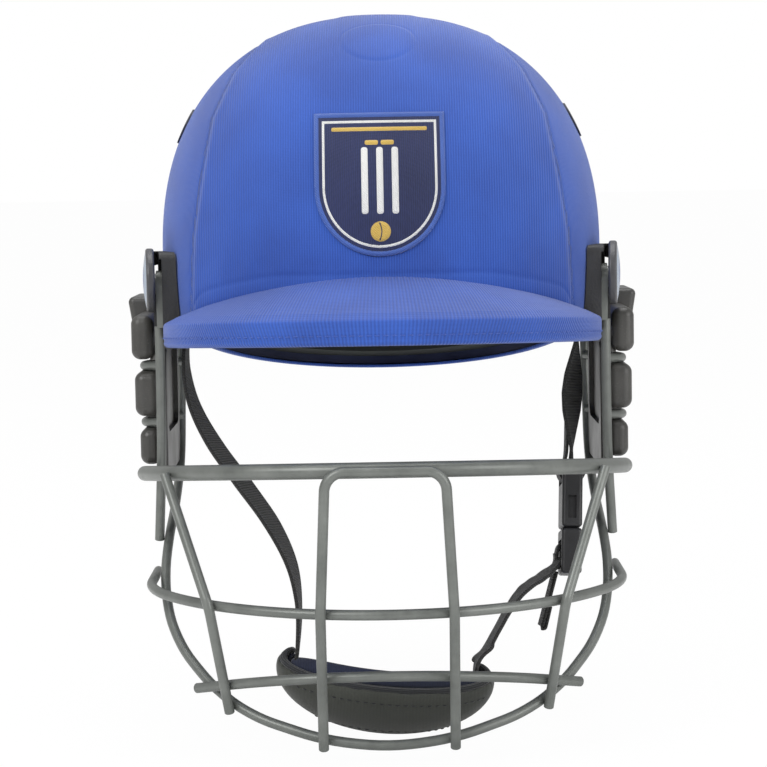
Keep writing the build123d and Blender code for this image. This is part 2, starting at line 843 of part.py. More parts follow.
def outside_jaw(x):
    """The centre line of a wire that lies against the outside of the jaw wire."""
    point = on_jaw_wire(x)
    outwards = (point - Vector(0, guard_middle_y, guard_middle_z)).normalized()
    return point + outwards * wire_spacing


def past(point, before, length):
    """A point further along the line that comes from before."""
    return point + (point - before).normalized() * length


def as_tuple(point):
    return (point.X, point.Y, point.Z)


# Slanting wires, from the front of the top bar across the second bar to the jaw wire
slant_top, slant_top_out = on_top_bar(top_bar_half_width * slant_top_share)
slant_top = slant_top + slant_top_out * ((top_bar_diameter + wire_diameter) / 2 + weld_gap)
slant_middle, slant_out = on_second_bar(second_bar_half_width * slant_middle_share)
slant_middle = slant_middle + slant_out * (wire_spacing + slant_bend_allowance)
slant_foot = outside_jaw(jaw_half_width * slant_foot_share)
slant_end = past(slant_foot, slant_middle, slant_foot_overhang)
slant_points = [as_tuple(slant_top), as_tuple(slant_middle), as_tuple(slant_end)]
both_sides("slant_wire", bent_wire(slant_points, wire_diameter, [leg_bend_radius]))

# Centre hoop, against the front of all three bars and the jaw wire
hoop_top_y = guard_front_y - (top_bar_diameter + wire_diameter) / 2 - weld_gap
hoop_top = Vector(hoop_top_half_width, hoop_top_y, top_bar_front_z)
hoop_second, hoop_out = on_second_bar(hoop_half_width)
hoop_second = hoop_second + hoop_out * (wire_spacing + hoop_bend_allowance)
hoop_foot = outside_jaw(hoop_half_width * hoop_foot_share)
hoop_end = past(hoop_foot, hoop_second, hoop_foot_overhang)
hoop_left = [as_tuple(p) for p in (hoop_end, hoop_second, hoop_top)]
hoop_points = hoop_left + [(-x, y, z) for x, y, z in reversed(hoop_left)]
hoop_radii = [leg_bend_radius, hoop_corner_radius, hoop_corner_radius, leg_bend_radius]
keep("centre_hoop", bent_wire(hoop_points, wire_diameter, hoop_radii))

# Rungs, from behind the upright round the ear guard to the rear of the jaw wire
def jaw_rear_at(z):
    """The centre line of the jaw wire's rear stretch at one height."""
    for high, low in zip(jaw_left, jaw_left[1:]):
        if low[2] <= z <= high[2]:
            share = (high[2] - z) / (high[2] - low[2])
            return Vector(*high) + (Vector(*low) - Vector(*high)) * share
    return Vector(*jaw_left[0])


rung_routes = []
for rung_z in rung_front_z:
    rung_start_y = pivot_y + wire_diameter * rung_root_share
    rung_rear = jaw_rear_at(rung_z - rung_rear_drop)
    rung_end_y = rung_rear.Y - wire_spacing * rung_end_share
    rung_run = rung_end_y - rung_start_y
    flat_route = [
        (upright_x, rung_start_y),
        (rung_outer_x, rung_start_y + rung_front_rise),
        (rung_outer_x, rung_straight_rear_y),
        (rung_inset_x, rung_inset_y),
        (rung_rear.X, rung_end_y),
    ]
    rung_routes.append([
        (x, y, rung_z - rung_rear_drop * (y - rung_start_y) / rung_run)
        for x, y in flat_route
    ])
for name, route in zip(("upper_rung", "lower_rung"), rung_routes):
    both_sides(name, bent_wire(route, wire_diameter))


# Ear guard: a walled pocket between the wires, with bulges through the gaps
def soft_box(low, high, radius):
    """A box with all its edges rounded."""
    body = block_between(low, high)
    return fillet(body.edges(), radius)


ear_slab = block_between(
    (ear_guard_inner_x, ear_guard_front_y, ear_guard_bottom_z),
    (ear_guard_outer_x, ear_guard_rear_y, ear_guard_top_z),
)
ear_slab = fillet(ear_slab.edges().filter_by(Axis.X), ear_guard_corner_radius)
ear_slab = fillet(ear_slab.faces().sort_by(Axis.X)[-1].edges(), ear_guard_edge_radius)
ear_slab = fillet(ear_slab.faces().sort_by(Axis.X)[0].edges(), ear_guard_edge_radius)
ear_pocket = block_between(
    (ear_guard_inner_x - ear_guard_wall, ear_pocket_front_y, ear_pocket_bottom_z),
    (ear_guard_outer_x - ear_guard_wall, ear_pocket_rear_y, ear_guard_top_z + overrun),
)
ear_pocket = fillet(ear_pocket.edges().filter_by(Axis.X), ear_guard_corner_radius)
ear_guard = ear_slab - ear_pocket
ear_foot = Polyline(
    (ear_guard_outer_x + weld_gap, ear_foot_top_z),
    (ear_foot_outer_x, ear_guard_bottom_z - weld_gap),
    (ear_guard_outer_x + overrun, ear_guard_bottom_z - weld_gap),
    close=True,
)
foot_plane = Plane(origin=(0, ear_guard_front_y - overrun, 0), x_dir=(1, 0, 0), z_dir=(0, -1, 0))
foot_length = ear_guard_rear_y - ear_guard_front_y + 2 * overrun
ear_guard -= extrude(foot_plane * make_face(ear_foot), -foot_length)
for bulge_in, bulge_out, bulge_front, bulge_rear, top_z, bottom_z in ear_bulge_sizes:
    ear_guard += soft_box(
        (upright_x + bulge_in, pivot_y + bulge_front, bottom_z),
        (upright_x + bulge_out, pivot_y + bulge_rear, top_z),
        ear_bulge_edge_radius,
    )
wing_profile = Polyline(
    (ear_upper_inner_x, ear_upper_top_z),
    (ear_wing_outer_x, ear_upper_top_z),
    (ear_wing_outer_x - ear_wing_slant, ear_wing_bottom_z),
    (ear_upper_inner_x, ear_wing_bottom_z),
    close=True,
)
wing_plane = Plane(origin=(0, ear_wing_front_y, 0), x_dir=(1, 0, 0), z_dir=(0, -1, 0))
wing_length = ear_wing_rear_y - ear_wing_front_y
ear_wing = extrude(wing_plane * make_face(wing_profile), -wing_length)
ear_wing = fillet(ear_wing.edges(), ear_guard_edge_radius)
ear_guard += ear_wing
for route in rung_routes:
    ear_guard -= bent_wire(route, wire_diameter + 2 * ear_wire_clearance)
ear_guard -= bent_wire(jaw_left[:5], wire_diameter + 2 * ear_wire_clearance)
ear_guard -= bent_wire(upright_points, wire_diameter + 2 * ear_wire_clearance)
top_bar_room = bar_along(top_bar_path, top_bar_diameter + 2 * ear_wire_clearance)
ear_guard -= top_bar_front * Pos(0, top_bar_depth, 0) * top_bar_room
both_sides("ear_guard", ear_guard)

# Plane of the cap's middle, its face turned towards the front
cap_turn = radians(cap_turn_deg)
cap_reach = tongue_radius * tan(cap_turn) + cap_thickness / (2 * cos(cap_turn))
cap_centre_x = tongue_outer_x + cap_head_clearance + cap_reach
cap_plane = Plane(
    origin=(cap_centre_x, pivot_y, pivot_z + cap_centre_rise),
    x_dir=(sin(cap_turn), cos(cap_turn), 0),
    z_dir=(cos(cap_turn), -sin(cap_turn), 0),
)

# Mount block: fills the wedge between shell and upright, with ribs on top
block_outer_x = tongue_outer_x + block_outer_rise
mount_block = block_between(
    (block_face_x - block_root_depth, pivot_y - block_front_length, block_bottom_z),
    (block_outer_x, pivot_y + block_rear_length, block_top_z),
)
mount_block = fillet(mount_block.edges().filter_by(Axis.X), block_edge_radius)
mount_block -= block_between(
    (block_face_x, pivot_y - block_front_length - overrun, block_bottom_z - overrun),
    (
        block_outer_x + overrun,
        pivot_y + block_rear_length - block_rear_wall,
        block_top_z - block_bridge_height,
    ),
)
mount_block -= dome(-seat_gap)
cap_room_length = cap_thickness + cap_head_clearance + overrun
cap_room_middle = (overrun - cap_thickness - cap_head_clearance) / 2
cap_room = Cylinder(cap_diameter / 2 + cap_head_clearance, cap_room_length)
mount_block -= cap_plane * Pos(0, 0, cap_room_middle) * cap_room
mount_block -= along_x(pivot_hole_radius, 0, side_reach, pivot_y, pivot_z)
rib_pitch = (block_front_length + block_rear_length) / (block_rib_count + 1)
for index in range(block_rib_count):
    rib_y = pivot_y - block_front_length + (index + 1) * rib_pitch
    mount_block -= block_between(
        (0, rib_y - block_rib_width / 2, block_top_z - block_rib_depth),
        (side_reach, rib_y + block_rib_width / 2, block_top_z + overrun),
    )
both_sides("mount_block", mount_block)

# Pivot screw and the wedge nut behind the shell
head_inner_x = tongue_outer_x + pivot_running_clearance
head_outer_x = head_inner_x + pivot_head_thickness
nut_inner_x = surface_x(shell_inner_dome, pivot_y, pivot_z) - pivot_nut_depth
screw = along_x(pivot_screw_diameter / 2, nut_inner_x, head_inner_x, pivot_y, pivot_z)
screw += along_x(pivot_head_diameter / 2, head_inner_x, head_outer_x, pivot_y, pivot_z)
both_sides("pivot_screw", screw)
nut_seat = dome(shell_inset + shell_thickness + pivot_running_clearance)
nut = along_x(pivot_nut_diameter / 2, nut_inner_x, side_reach, pivot_y, pivot_z) & nut_seat
nut -= along_x(pivot_hole_radius, 0, side_reach, pivot_y, pivot_z)
both_sides("shell_nut", nut)

# Cap over the screw head, and its label
cap_disc = Cylinder(cap_diameter / 2, cap_thickness)
cap_disc = fillet(cap_disc.edges().filter_by(GeomType.CIRCLE), cap_edge_radius)
head_room = along_x(
    pivot_head_diameter / 2 + cap_head_clearance, 0, head_outer_x + cap_head_clearance,
    pivot_y, pivot_z,
)
both_sides("cap", cap_plane * cap_disc - head_room)
label_radius = (label_diameter**2 / 4 + label_dome**2) / (2 * label_dome)
label_ball = Pos(0, 0, cap_thickness / 2 + label_dome - label_radius) * Sphere(label_radius)
label_room = Pos(0, 0, cap_thickness / 2 + label_dome) * Cylinder(label_diameter / 2, 2 * label_dome)
both_sides("cap_label", cap_plane * (label_ball & label_room))

# Strap rivets, from the shell's wall through the ends of the webbing
strap_edge_x = surface_x(shell_inner_dome, rivet_y - webbing_width / 2, rivet_z)
strap_seat_x = strap_edge_x - strap_seat_gap
rivet_outer_x = surface_x(shell_outer_dome, rivet_y, rivet_z) - seat_gap
rivet_head_x = strap_seat_x - webbing_thickness - rivet_running_clearance
rivet = along_x(rivet_diameter / 2, rivet_head_x, rivet_outer_x, rivet_y, rivet_z)
rivet += along_x(
    rivet_head_diameter / 2, rivet_head_x - rivet_head_thickness, rivet_head_x, rivet_y, rivet_z
)
both_sides("strap_rivet", rivet)


# Webbing: flat bands through cross-sections along a route
def band(centres, acrosses, width, thickness):
    """A flat strap through the given centres, its width along each across."""
    faces = []
    for index, (centre, across) in enumerate(zip(centres, acrosses)):
        before = centres[max(index - 1, 0)]
        after = centres[min(index + 1, len(centres) - 1)]
        along = (after - before).normalized()
        flat = (across - along * across.dot(along)).normalized()
        section = Plane(origin=centre, x_dir=flat, z_dir=along) * Rectangle(width, thickness)
        faces.append(section)
    return loft(faces, ruled=True)


def bowed_route(start, end, bow, swing):
    """Points from start to end that bow once sideways and swing out and back."""
    points = []
    for step in range(webbing_steps + 1):
        share = step / webbing_steps
        aside = bow * sin(pi * share) ** 2 + swing * sin(2 * pi * share)
        points.append(start + (end - start) * share + aside)
    return points


def twisted(count, start_deg, middle_deg, end_deg):
    """Width directions that turn from the rivet's to the cup's."""
    directions = []
    for step in range(count):
        share = step / (count - 1)
        turn = start_deg + (end_deg - start_deg) * share + middle_deg * sin(pi * share) ** 2
        directions.append(Vector(sin(radians(turn)), cos(radians(turn)), 0))
    return directions


strap_end_x = strap_seat_x - webbing_thickness / 2


def strap_end(side):
    """The flat end of the webbing, with the rivet's hole, on one side."""
    plane = Plane(
        origin=(side * (strap_seat_x - webbing_thickness / 2), rivet_y, rivet_z),
        x_dir=(0, 1, 0), z_dir=(1, 0, 0),
    )
    outline = Pos(0, -webbing_width / 4) * Rectangle(webbing_width, webbing_width / 2)
    outline += Circle(webbing_width / 2)
    outline -= Circle(rivet_hole_radius)
    return extrude(plane * outline, webbing_thickness / 2, both=True)


# Chin cup: the lower front of a hollow oval, leaning with the strap
cup_place = Pos(cup_centre_x, cup_centre_y, cup_centre_z) * Rot(cup_nod_deg, cup_lean_deg, 0)


def cup_form(inset):
    """The cup's whole oval, drawn in by inset."""
    unit = Sphere(cup_depth_below_rim - inset)
    stretch_x = (cup_half_width - inset) / (cup_depth_below_rim - inset)
    stretch_y = (cup_half_depth - inset) / (cup_depth_below_rim - inset)
    return scale(unit, by=(stretch_x, stretch_y, 1))


cup_room = block_between(
    (-cup_half_width - overrun, -cup_half_depth - overrun, -cup_depth_below_rim - overrun),
    (cup_half_width + overrun, cup_rear_reach, cup_rim_height),
)
cup_lining_inset = cup_cover_thickness + cup_pad_gap
cup_cover = (cup_form(0) - cup_form(cup_cover_thickness)) & cup_room
cup_pad = (cup_form(cup_lining_inset) - cup_form(cup_lining_inset + cup_pad_thickness)) & cup_room
keep("chin_cup", cup_place * cup_cover)
keep("chin_cup_pad", cup_place * cup_pad)


def cup_end(side):
    """Where a strap meets the rim of the cup."""
    place = cup_place * Pos(
        side * (cup_half_width - cup_end_inset), 0, cup_rim_height + strap_cup_gap
    )
    return place.position


# Right-hand strap
right_start = Vector(-strap_end_x, rivet_y, rivet_z - webbing_width / 2)
right_bow = Vector(right_bow_in, 0, 0)
right_swing = Vector(-right_swing_out, 0, 0)
right_route = bowed_route(right_start, cup_end(-1), right_bow, right_swing)
right_turns = twisted(len(right_route), 0, right_twist_deg, 0)
right_band = band(right_route, right_turns, webbing_width, webbing_thickness)
keep("right_strap", right_band + strap_end(-1))

# Buckle frame: its Z runs up along the strap, its X through it, its Y across it
buckle_place = (
    Pos(buckle_top_x, buckle_top_y, buckle_top_z)
    * Rot(-buckle_back_lean_deg, buckle_side_lean_deg, 0)
)
inner_width = buckle_width - 2 * buckle_wall
inner_thickness = buckle_thickness - 2 * buckle_wall
socket_depth = buckle_length - buckle_bar_length - buckle_bar_slot


def buckle_box(thickness, width, top, bottom):
    """A box in the buckle's frame, between two depths below its top."""
    return Pos(0, 0, -(top + bottom) / 2) * Box(thickness, width, bottom - top)


socket = fillet(
    buckle_box(buckle_thickness, buckle_width, 0, buckle_length).edges(), buckle_edge_radius
)
socket -= buckle_box(
    buckle_thickness + overrun, inner_width, buckle_bar_length,
    buckle_bar_length + buckle_bar_slot - buckle_wall,
)
socket -= buckle_box(
    inner_thickness, inner_width, buckle_length - socket_depth + buckle_wall,
    buckle_length + overrun,
)
window_top = buckle_length - socket_depth + buckle_wall + buckle_wall
socket -= buckle_box(
    inner_thickness - buckle_wall, buckle_width + overrun, window_top,
    window_top + buckle_window_length,
)
keep("buckle_socket", buckle_place * socket)

# Insert: base, centre guide and webbing bars, with a prong at each edge
insert_top = buckle_length + insert_gap
insert_end = (
    insert_top + insert_base_length
    + insert_bar_count * (insert_slot_length + insert_bar_length)
)
insert = fillet(
    buckle_box(buckle_thickness, buckle_width, insert_top, insert_end).edges(),
    buckle_edge_radius,
)
for index in range(insert_bar_count):
    slot_start = insert_top + insert_base_length + index * (insert_slot_length + insert_bar_length)
    insert -= buckle_box(
        buckle_thickness + overrun, inner_width, slot_start, slot_start + insert_slot_length
    )
fit_thickness = inner_thickness - 2 * insert_fit_gap
insert += buckle_box(fit_thickness, guide_width, insert_top - guide_length, insert_top + buckle_wall)
keep("buckle_insert", buckle_place * insert)

prong_y = inner_width / 2 - insert_fit_gap - prong_width / 2
prong_head_y = inner_width / 2 - insert_fit_gap - prong_head_width / 2
prong_tip = insert_top - prong_length
prong_root = insert_top - prong_hinge_gap
prong = Pos(0, prong_y, 0) * buckle_box(fit_thickness, prong_width, prong_tip, prong_root)
prong += Pos(0, prong_head_y, 0) * buckle_box(
    fit_thickness, prong_head_width, prong_tip, prong_tip + prong_head_length
)
keep("rear_prong", buckle_place * prong)
keep("front_prong", buckle_place * mirror(prong, about=Plane.XZ))

# Left-hand webbing, from the rivet to the buckle's top bar
left_start = Vector(strap_end_x, rivet_y, rivet_z - webbing_width / 2)
left_place = buckle_place * Pos(0, 0, strap_loop_gap)
left_end = left_place.position
left_route = bowed_route(left_start, left_end, Vector(-left_bow_in, 0, 0), Vector(0, 0, 0))
left_turns = twisted(len(left_route), 0, left_twist_deg, 0)
left_band = band(left_route, left_turns, webbing_width, webbing_thickness)
keep("left_strap", left_band + strap_end(1))

# Lower webbing, from the insert's inner face to the cup, and its free tail
face_x = -buckle_thickness / 2 - insert_face_gap - webbing_thickness / 2
first_bar_depth = insert_top + insert_base_length + insert_slot_length + insert_bar_length / 2
lower_lead = (buckle_place * Pos(face_x, 0, -first_bar_depth)).position
lower_start = (buckle_place * Pos(face_x, 0, -first_bar_depth - lower_lead_length)).position
lower_route = [lower_lead]
lower_route += bowed_route(lower_start, cup_end(1), Vector(0, 0, lower_bow_up), Vector(0, 0, 0))
lower_turns = twisted(len(lower_route), 0, 0, 0)
keep("lower_strap", band(lower_route, lower_turns, webbing_width, webbing_thickness))

tail_lean = radians(tail_lean_deg)
tail_start = (buckle_place * Pos(face_x, 0, -insert_end + insert_bar_length / 2)).position
tail_run = Vector(-sin(tail_lean), -sin(tail_lean) / 2, -cos(tail_lean)).normalized()
tail_route = [
    tail_start + tail_run * (tail_length * step / webbing_steps)
    for step in range(webbing_steps + 1)
]
tail_turns = twisted(len(tail_route), 0, 0, 0)
keep("strap_tail", band(tail_route, tail_turns, webbing_width, webbing_thickness))
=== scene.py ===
from math import cos, pi, radians, sin, sqrt, tan

import bmesh
import bpy
import numpy as np
from mathutils import Matrix, Vector, noise


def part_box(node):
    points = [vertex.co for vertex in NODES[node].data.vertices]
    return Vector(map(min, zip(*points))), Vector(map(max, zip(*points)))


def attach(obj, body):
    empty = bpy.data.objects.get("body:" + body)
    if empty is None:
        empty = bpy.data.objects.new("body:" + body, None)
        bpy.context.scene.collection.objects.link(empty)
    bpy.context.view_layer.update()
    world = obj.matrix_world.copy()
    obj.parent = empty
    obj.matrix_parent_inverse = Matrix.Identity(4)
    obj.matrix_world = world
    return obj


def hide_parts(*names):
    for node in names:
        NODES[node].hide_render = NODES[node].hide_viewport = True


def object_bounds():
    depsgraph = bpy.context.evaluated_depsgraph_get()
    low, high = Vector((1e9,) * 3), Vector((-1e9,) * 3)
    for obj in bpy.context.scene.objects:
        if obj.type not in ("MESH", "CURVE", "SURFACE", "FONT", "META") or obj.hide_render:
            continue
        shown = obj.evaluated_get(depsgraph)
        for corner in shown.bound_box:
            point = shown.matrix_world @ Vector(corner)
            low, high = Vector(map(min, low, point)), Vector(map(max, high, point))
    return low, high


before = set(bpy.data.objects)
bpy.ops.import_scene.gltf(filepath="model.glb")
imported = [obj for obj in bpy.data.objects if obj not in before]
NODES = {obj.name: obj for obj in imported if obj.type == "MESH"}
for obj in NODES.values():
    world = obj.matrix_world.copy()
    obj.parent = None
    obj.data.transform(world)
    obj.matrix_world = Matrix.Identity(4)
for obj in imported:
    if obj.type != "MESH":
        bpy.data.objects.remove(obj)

cad_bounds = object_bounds()
scene = bpy.context.scene
MM = 0.001
WHITE = (1, 1, 1, 1)


def side_names(name):
    return ["left_" + name, "right_" + name]


# Materials
def new_material(name):
    material = bpy.data.materials.new(name)
    material.use_nodes = True
    tree = material.node_tree
    tree.nodes.clear()
    out = tree.nodes.new("ShaderNodeOutputMaterial")
    shader = tree.nodes.new("ShaderNodeBsdfPrincipled")
    tree.links.new(shader.outputs["BSDF"], out.inputs["Surface"])
    return material, tree, shader


def node(tree, kind, values=None, **settings):
    made = tree.nodes.new("ShaderNode" + kind)
    for key, value in settings.items():
        setattr(made, key, value)
    for key, value in (values or {}).items():
        made.inputs[key].default_value = value
    return made


def link(tree, source, target):
    tree.links.new(source, target)


def feed(tree, socket, value):
    """Links value to socket where it is a socket itself, and sets it as a constant otherwise."""
    if hasattr(value, "is_output"):
        link(tree, value, socket)
    else:
        socket.default_value = (*value, 1) if isinstance(value, tuple) else value


def mixed(tree, factor, low, high):
    """A colour between low and high; each is a colour or a socket."""
    mix = node(tree, "Mix", data_type="RGBA")
    link(tree, factor, mix.inputs[0])
    feed(tree, mix.inputs[6], low)
    feed(tree, mix.inputs[7], high)
    return mix.outputs[2]


def stretched(tree, source, low, high, to_low=0.0, to_high=1.0):
    span = node(tree, "MapRange", {"From Min": low, "From Max": high, "To Min": to_low, "To Max": to_high})
    link(tree, source, span.inputs["Value"])
    return span.outputs["Result"]


def noise_at(tree, coords, scale, detail=3.0, roughness=0.5):
    made = node(tree, "TexNoise", {"Scale": scale, "Detail": detail, "Roughness": roughness})
    link(tree, coords, made.inputs["Vector"])
    return made.outputs["Fac"]


def ribs_at(tree, coords, spacing, turn_deg, distortion=0.0):
    """Sine ribs across coords, one every spacing metres, turned in the plane of X and Y."""
    mapping = node(tree, "Mapping")
    mapping.inputs["Rotation"].default_value = (0, 0, radians(turn_deg))
    link(tree, coords, mapping.inputs["Vector"])
    wave = node(tree, "TexWave", {"Scale": 2 * pi / (20 * spacing), "Distortion": distortion,
                                  "Detail": 1.0, "Detail Scale": 2.0},
                wave_type="BANDS", bands_direction="X", wave_profile="SIN")
    link(tree, mapping.outputs["Vector"], wave.inputs["Vector"])
    return wave.outputs["Fac"]


def maths(tree, operation, first, second):
    made = node(tree, "Math", operation=operation)
    feed(tree, made.inputs[0], first)
    feed(tree, made.inputs[1], second)
    return made.outputs[0]


def weighted(tree, first, first_weight, second, second_weight):
    return maths(tree, "ADD", maths(tree, "MULTIPLY", first, first_weight),
                 maths(tree, "MULTIPLY", second, second_weight))


def bump(tree, height, distance, strength, before=None):
    made = node(tree, "Bump", {"Strength": strength, "Distance": distance})
    link(tree, height, made.inputs["Height"])
    if before is not None:
        link(tree, before, made.inputs["Normal"])
    return made.outputs["Normal"]


def cloth_material(name, dark, light, rib=0.0011, turn=0.0, uv=True, rough=0.86, sheen=0.25, weave=0.00035):
    """Knitted or woven cloth: ribs, a finer cross weave, fuzz and slow colour changes."""
    material, tree, shader = new_material(name)
    coord = node(tree, "TexCoord")
    flat = coord.outputs["UV"] if uv else coord.outputs["Object"]
    solid = coord.outputs["Object"]
    rib_wave = ribs_at(tree, flat, rib, turn, distortion=0.25)
    cross_wave = ribs_at(tree, flat, rib * 0.62, turn + 90, distortion=0.4)
    fuzz = noise_at(tree, solid, 2600.0, 2.0)
    slow = noise_at(tree, solid, 26.0, 3.0)
    weave_height = weighted(tree, rib_wave, 0.75, cross_wave, 0.14)
    shade = weighted(tree, weave_height, 0.62, fuzz, 0.35)
    slow_change = maths(tree, "MULTIPLY", stretched(tree, slow, 0.35, 0.65, -0.5, 0.5), 0.3)
    shade = maths(tree, "ADD", shade, slow_change)
    colour = mixed(tree, stretched(tree, shade, 0.12, 0.95), dark, light)
    link(tree, colour, shader.inputs["Base Color"])
    shader.inputs["Roughness"].default_value = rough
    shader.inputs["Sheen Weight"].default_value = sheen
    shader.inputs["Sheen Roughness"].default_value = 0.45
    normal = bump(tree, weave_height, weave, 0.8)
    normal = bump(tree, fuzz, 0.00012, 0.6, normal)
    link(tree, normal, shader.inputs["Normal"])
    return material


def paint_material(name, dark, light, rough, metallic):
    """Powder coat: fine peel, faint mottling and small rubbed marks."""
    material, tree, shader = new_material(name)
    coord = node(tree, "TexCoord").outputs["Object"]
    slow = noise_at(tree, coord, 55.0, 4.0)
    fine = noise_at(tree, coord, 1400.0, 2.0)
    scuff = noise_at(tree, coord, 240.0, 6.0, 0.7)
    shade = weighted(tree, slow, 0.7, scuff, 0.3)
    link(tree, mixed(tree, stretched(tree, shade, 0.32, 0.68), dark, light), shader.inputs["Base Color"])
    link(tree, stretched(tree, scuff, 0.3, 0.7, *rough), shader.inputs["Roughness"])
    shader.inputs["Metallic"].default_value = metallic
    link(tree, bump(tree, fine, 0.00006, 0.7), shader.inputs["Normal"])
    return material


def moulded_material(name, dark, light, rough=(0.4, 0.6), grain=900.0, depth=0.00012, speck=0.0):
    """Moulded plastic or foam: pebble grain, mottling, and specks where asked."""
    material, tree, shader = new_material(name)
    coord = node(tree, "TexCoord").outputs["Object"]
    cells = node(tree, "TexVoronoi", {"Scale": grain})
    link(tree, coord, cells.inputs["Vector"])
    slow = noise_at(tree, coord, 40.0, 4.0)
    colour = mixed(tree, stretched(tree, slow, 0.3, 0.7), dark, light)
    if speck:
        dots = noise_at(tree, coord, 1700.0, 1.0)
        pale = tuple(min(1, c * 2.6 + 0.04) for c in light)
        colour = mixed(tree, stretched(tree, dots, 0.66, 0.78, 0.0, speck), colour, pale)
    link(tree, colour, shader.inputs["Base Color"])
    link(tree, stretched(tree, slow, 0.3, 0.7, *rough), shader.inputs["Roughness"])
    link(tree, bump(tree, cells.outputs["Distance"], depth, 0.6), shader.inputs["Normal"])
    return material


def metal_material(name, colour, rough=0.35):
    """Brushed steel: long fine scratches over plain metal."""
    material, tree, shader = new_material(name)
    coord = node(tree, "TexCoord").outputs["Object"]
    mapping = node(tree, "Mapping")
    mapping.inputs["Scale"].default_value = (1, 1, 14)
    link(tree, coord, mapping.inputs["Vector"])
    grain = noise_at(tree, mapping.outputs["Vector"], 600.0, 3.0)
    dark = tuple(c * 0.75 for c in colour)
    link(tree, mixed(tree, grain, dark, colour), shader.inputs["Base Color"])
    link(tree, stretched(tree, grain, 0.3, 0.7, rough - 0.08, rough + 0.12), shader.inputs["Roughness"])
    shader.inputs["Metallic"].default_value = 1.0
    link(tree, bump(tree, grain, 0.00003, 0.5), shader.inputs["Normal"])
    return material


def webbing_material(name, dark, light):
    """Flat webbing: ribs across it, finer ones along it, and fuzz."""
    material, tree, shader = new_material(name)
    coord = node(tree, "TexCoord")
    ribs = ribs_at(tree, coord.outputs["UV"], 0.00125, 90)
    warp = ribs_at(tree, coord.outputs["UV"], 0.0009, 0)
    fuzz = noise_at(tree, coord.outputs["Object"], 2400.0, 2.0)
    height = weighted(tree, ribs, 0.8, warp, 0.3)
    shade = weighted(tree, height, 0.7, fuzz, 0.3)
    link(tree, mixed(tree, shade, dark, light), shader.inputs["Base Color"])
    shader.inputs["Roughness"].default_value = 0.72
    shader.inputs["Sheen Weight"].default_value = 0.15
    link(tree, bump(tree, height, 0.00035, 0.9), shader.inputs["Normal"])
    return material


# Distances from a label's middle, in metres, over which its colours blend
LABEL_DISC_EDGE, LABEL_RING_EDGE = (0.0064, 0.0068), (0.0112, 0.0116)


def label_material(name, middle):
    """Domed resin label: blue middle disc and pale ring, under a clear glossy coat."""
    material, tree, shader = new_material(name)
    coord = node(tree, "TexCoord").outputs["Object"]
    offset = node(tree, "VectorMath", operation="SUBTRACT")
    link(tree, coord, offset.inputs[0])
    offset.inputs[1].default_value = middle
    length = node(tree, "VectorMath", operation="LENGTH")
    link(tree, offset.outputs["Vector"], length.inputs[0])
    mottled = noise_at(tree, coord, 300.0, 3.0)
    pale = mixed(tree, mottled, (0.27, 0.36, 0.5), (0.4, 0.5, 0.63))
    blue = mixed(tree, mottled, (0.03, 0.1, 0.36), (0.06, 0.16, 0.46))
    ring = stretched(tree, length.outputs["Value"], *LABEL_DISC_EDGE)
    rim = stretched(tree, length.outputs["Value"], *LABEL_RING_EDGE)
    colour = mixed(tree, rim, mixed(tree, ring, blue, pale), (0.16, 0.2, 0.27))
    link(tree, colour, shader.inputs["Base Color"])
    shader.inputs["Roughness"].default_value = 0.22
    shader.inputs["Coat Weight"].default_value = 0.6
    shader.inputs["Coat Roughness"].default_value = 0.08
    link(tree, bump(tree, noise_at(tree, coord, 500.0, 2.0), 0.00003, 0.4), shader.inputs["Normal"])
    return material


ROYAL_COLOURS = (0.014, 0.05, 0.26), (0.026, 0.098, 0.46)
royal = cloth_material("royal_rib_knit", *ROYAL_COLOURS, rib=0.00105, weave=0.00018)
royal_peak = cloth_material("royal_rib_knit_peak", *ROYAL_COLOURS, rib=0.0026, weave=0.0003)
lining_cloth = cloth_material("lining_cloth", (0.004, 0.008, 0.007), (0.018, 0.028, 0.024), rib=0.0016,
                              uv=False, rough=0.95, sheen=0.15)
cup_cloth = cloth_material("cup_cloth", (0.028, 0.03, 0.025), (0.062, 0.066, 0.055), rib=0.0006, uv=False,
                           weave=0.00008)
cup_navy = cloth_material("cup_navy", (0.003, 0.006, 0.018), (0.011, 0.017, 0.052), rib=0.0007, uv=False,
                          weave=0.0001)
binding = cloth_material("binding_tape", (0.008, 0.009, 0.01), (0.03, 0.032, 0.036), rib=0.0009)
felt = cloth_material("shield_felt", (0.006, 0.01, 0.045), (0.015, 0.024, 0.1), rib=0.0009, uv=False,
                      sheen=0.35)
thread_white, thread_blue, thread_royal, thread_gold = (
    cloth_material("thread_" + name, dark, light, rib=0.0006, turn=60) for name, dark, light in (
        ("white", (0.5, 0.5, 0.5), (0.86, 0.86, 0.84)), ("blue", (0.03, 0.07, 0.28), (0.07, 0.15, 0.5)),
        ("royal", (0.02, 0.06, 0.32), (0.04, 0.12, 0.52)), ("gold", (0.42, 0.27, 0.05), (0.72, 0.5, 0.12))))
webbing = webbing_material("black_webbing", (0.003, 0.003, 0.003), (0.018, 0.018, 0.016))
steel_grey = paint_material("guard_powder_coat", (0.108, 0.116, 0.107), (0.18, 0.19, 0.177),
                            rough=(0.3, 0.44), metallic=0.3)
shell_plastic = moulded_material("shell_plastic", (0.008, 0.012, 0.04), (0.016, 0.022, 0.07),
                                 rough=(0.3, 0.45))
vent_plastic = moulded_material("vent_plastic", (0.006, 0.008, 0.02), (0.014, 0.018, 0.04))
foam = moulded_material("liner_foam", (0.008, 0.01, 0.01), (0.022, 0.026, 0.025), rough=(0.75, 0.9),
                        grain=500.0, depth=0.0003)
ear_plastic = moulded_material("ear_moulding", (0.035, 0.034, 0.031), (0.062, 0.06, 0.055),
                               rough=(0.3, 0.48), grain=1300.0, depth=0.00006, speck=0.35)
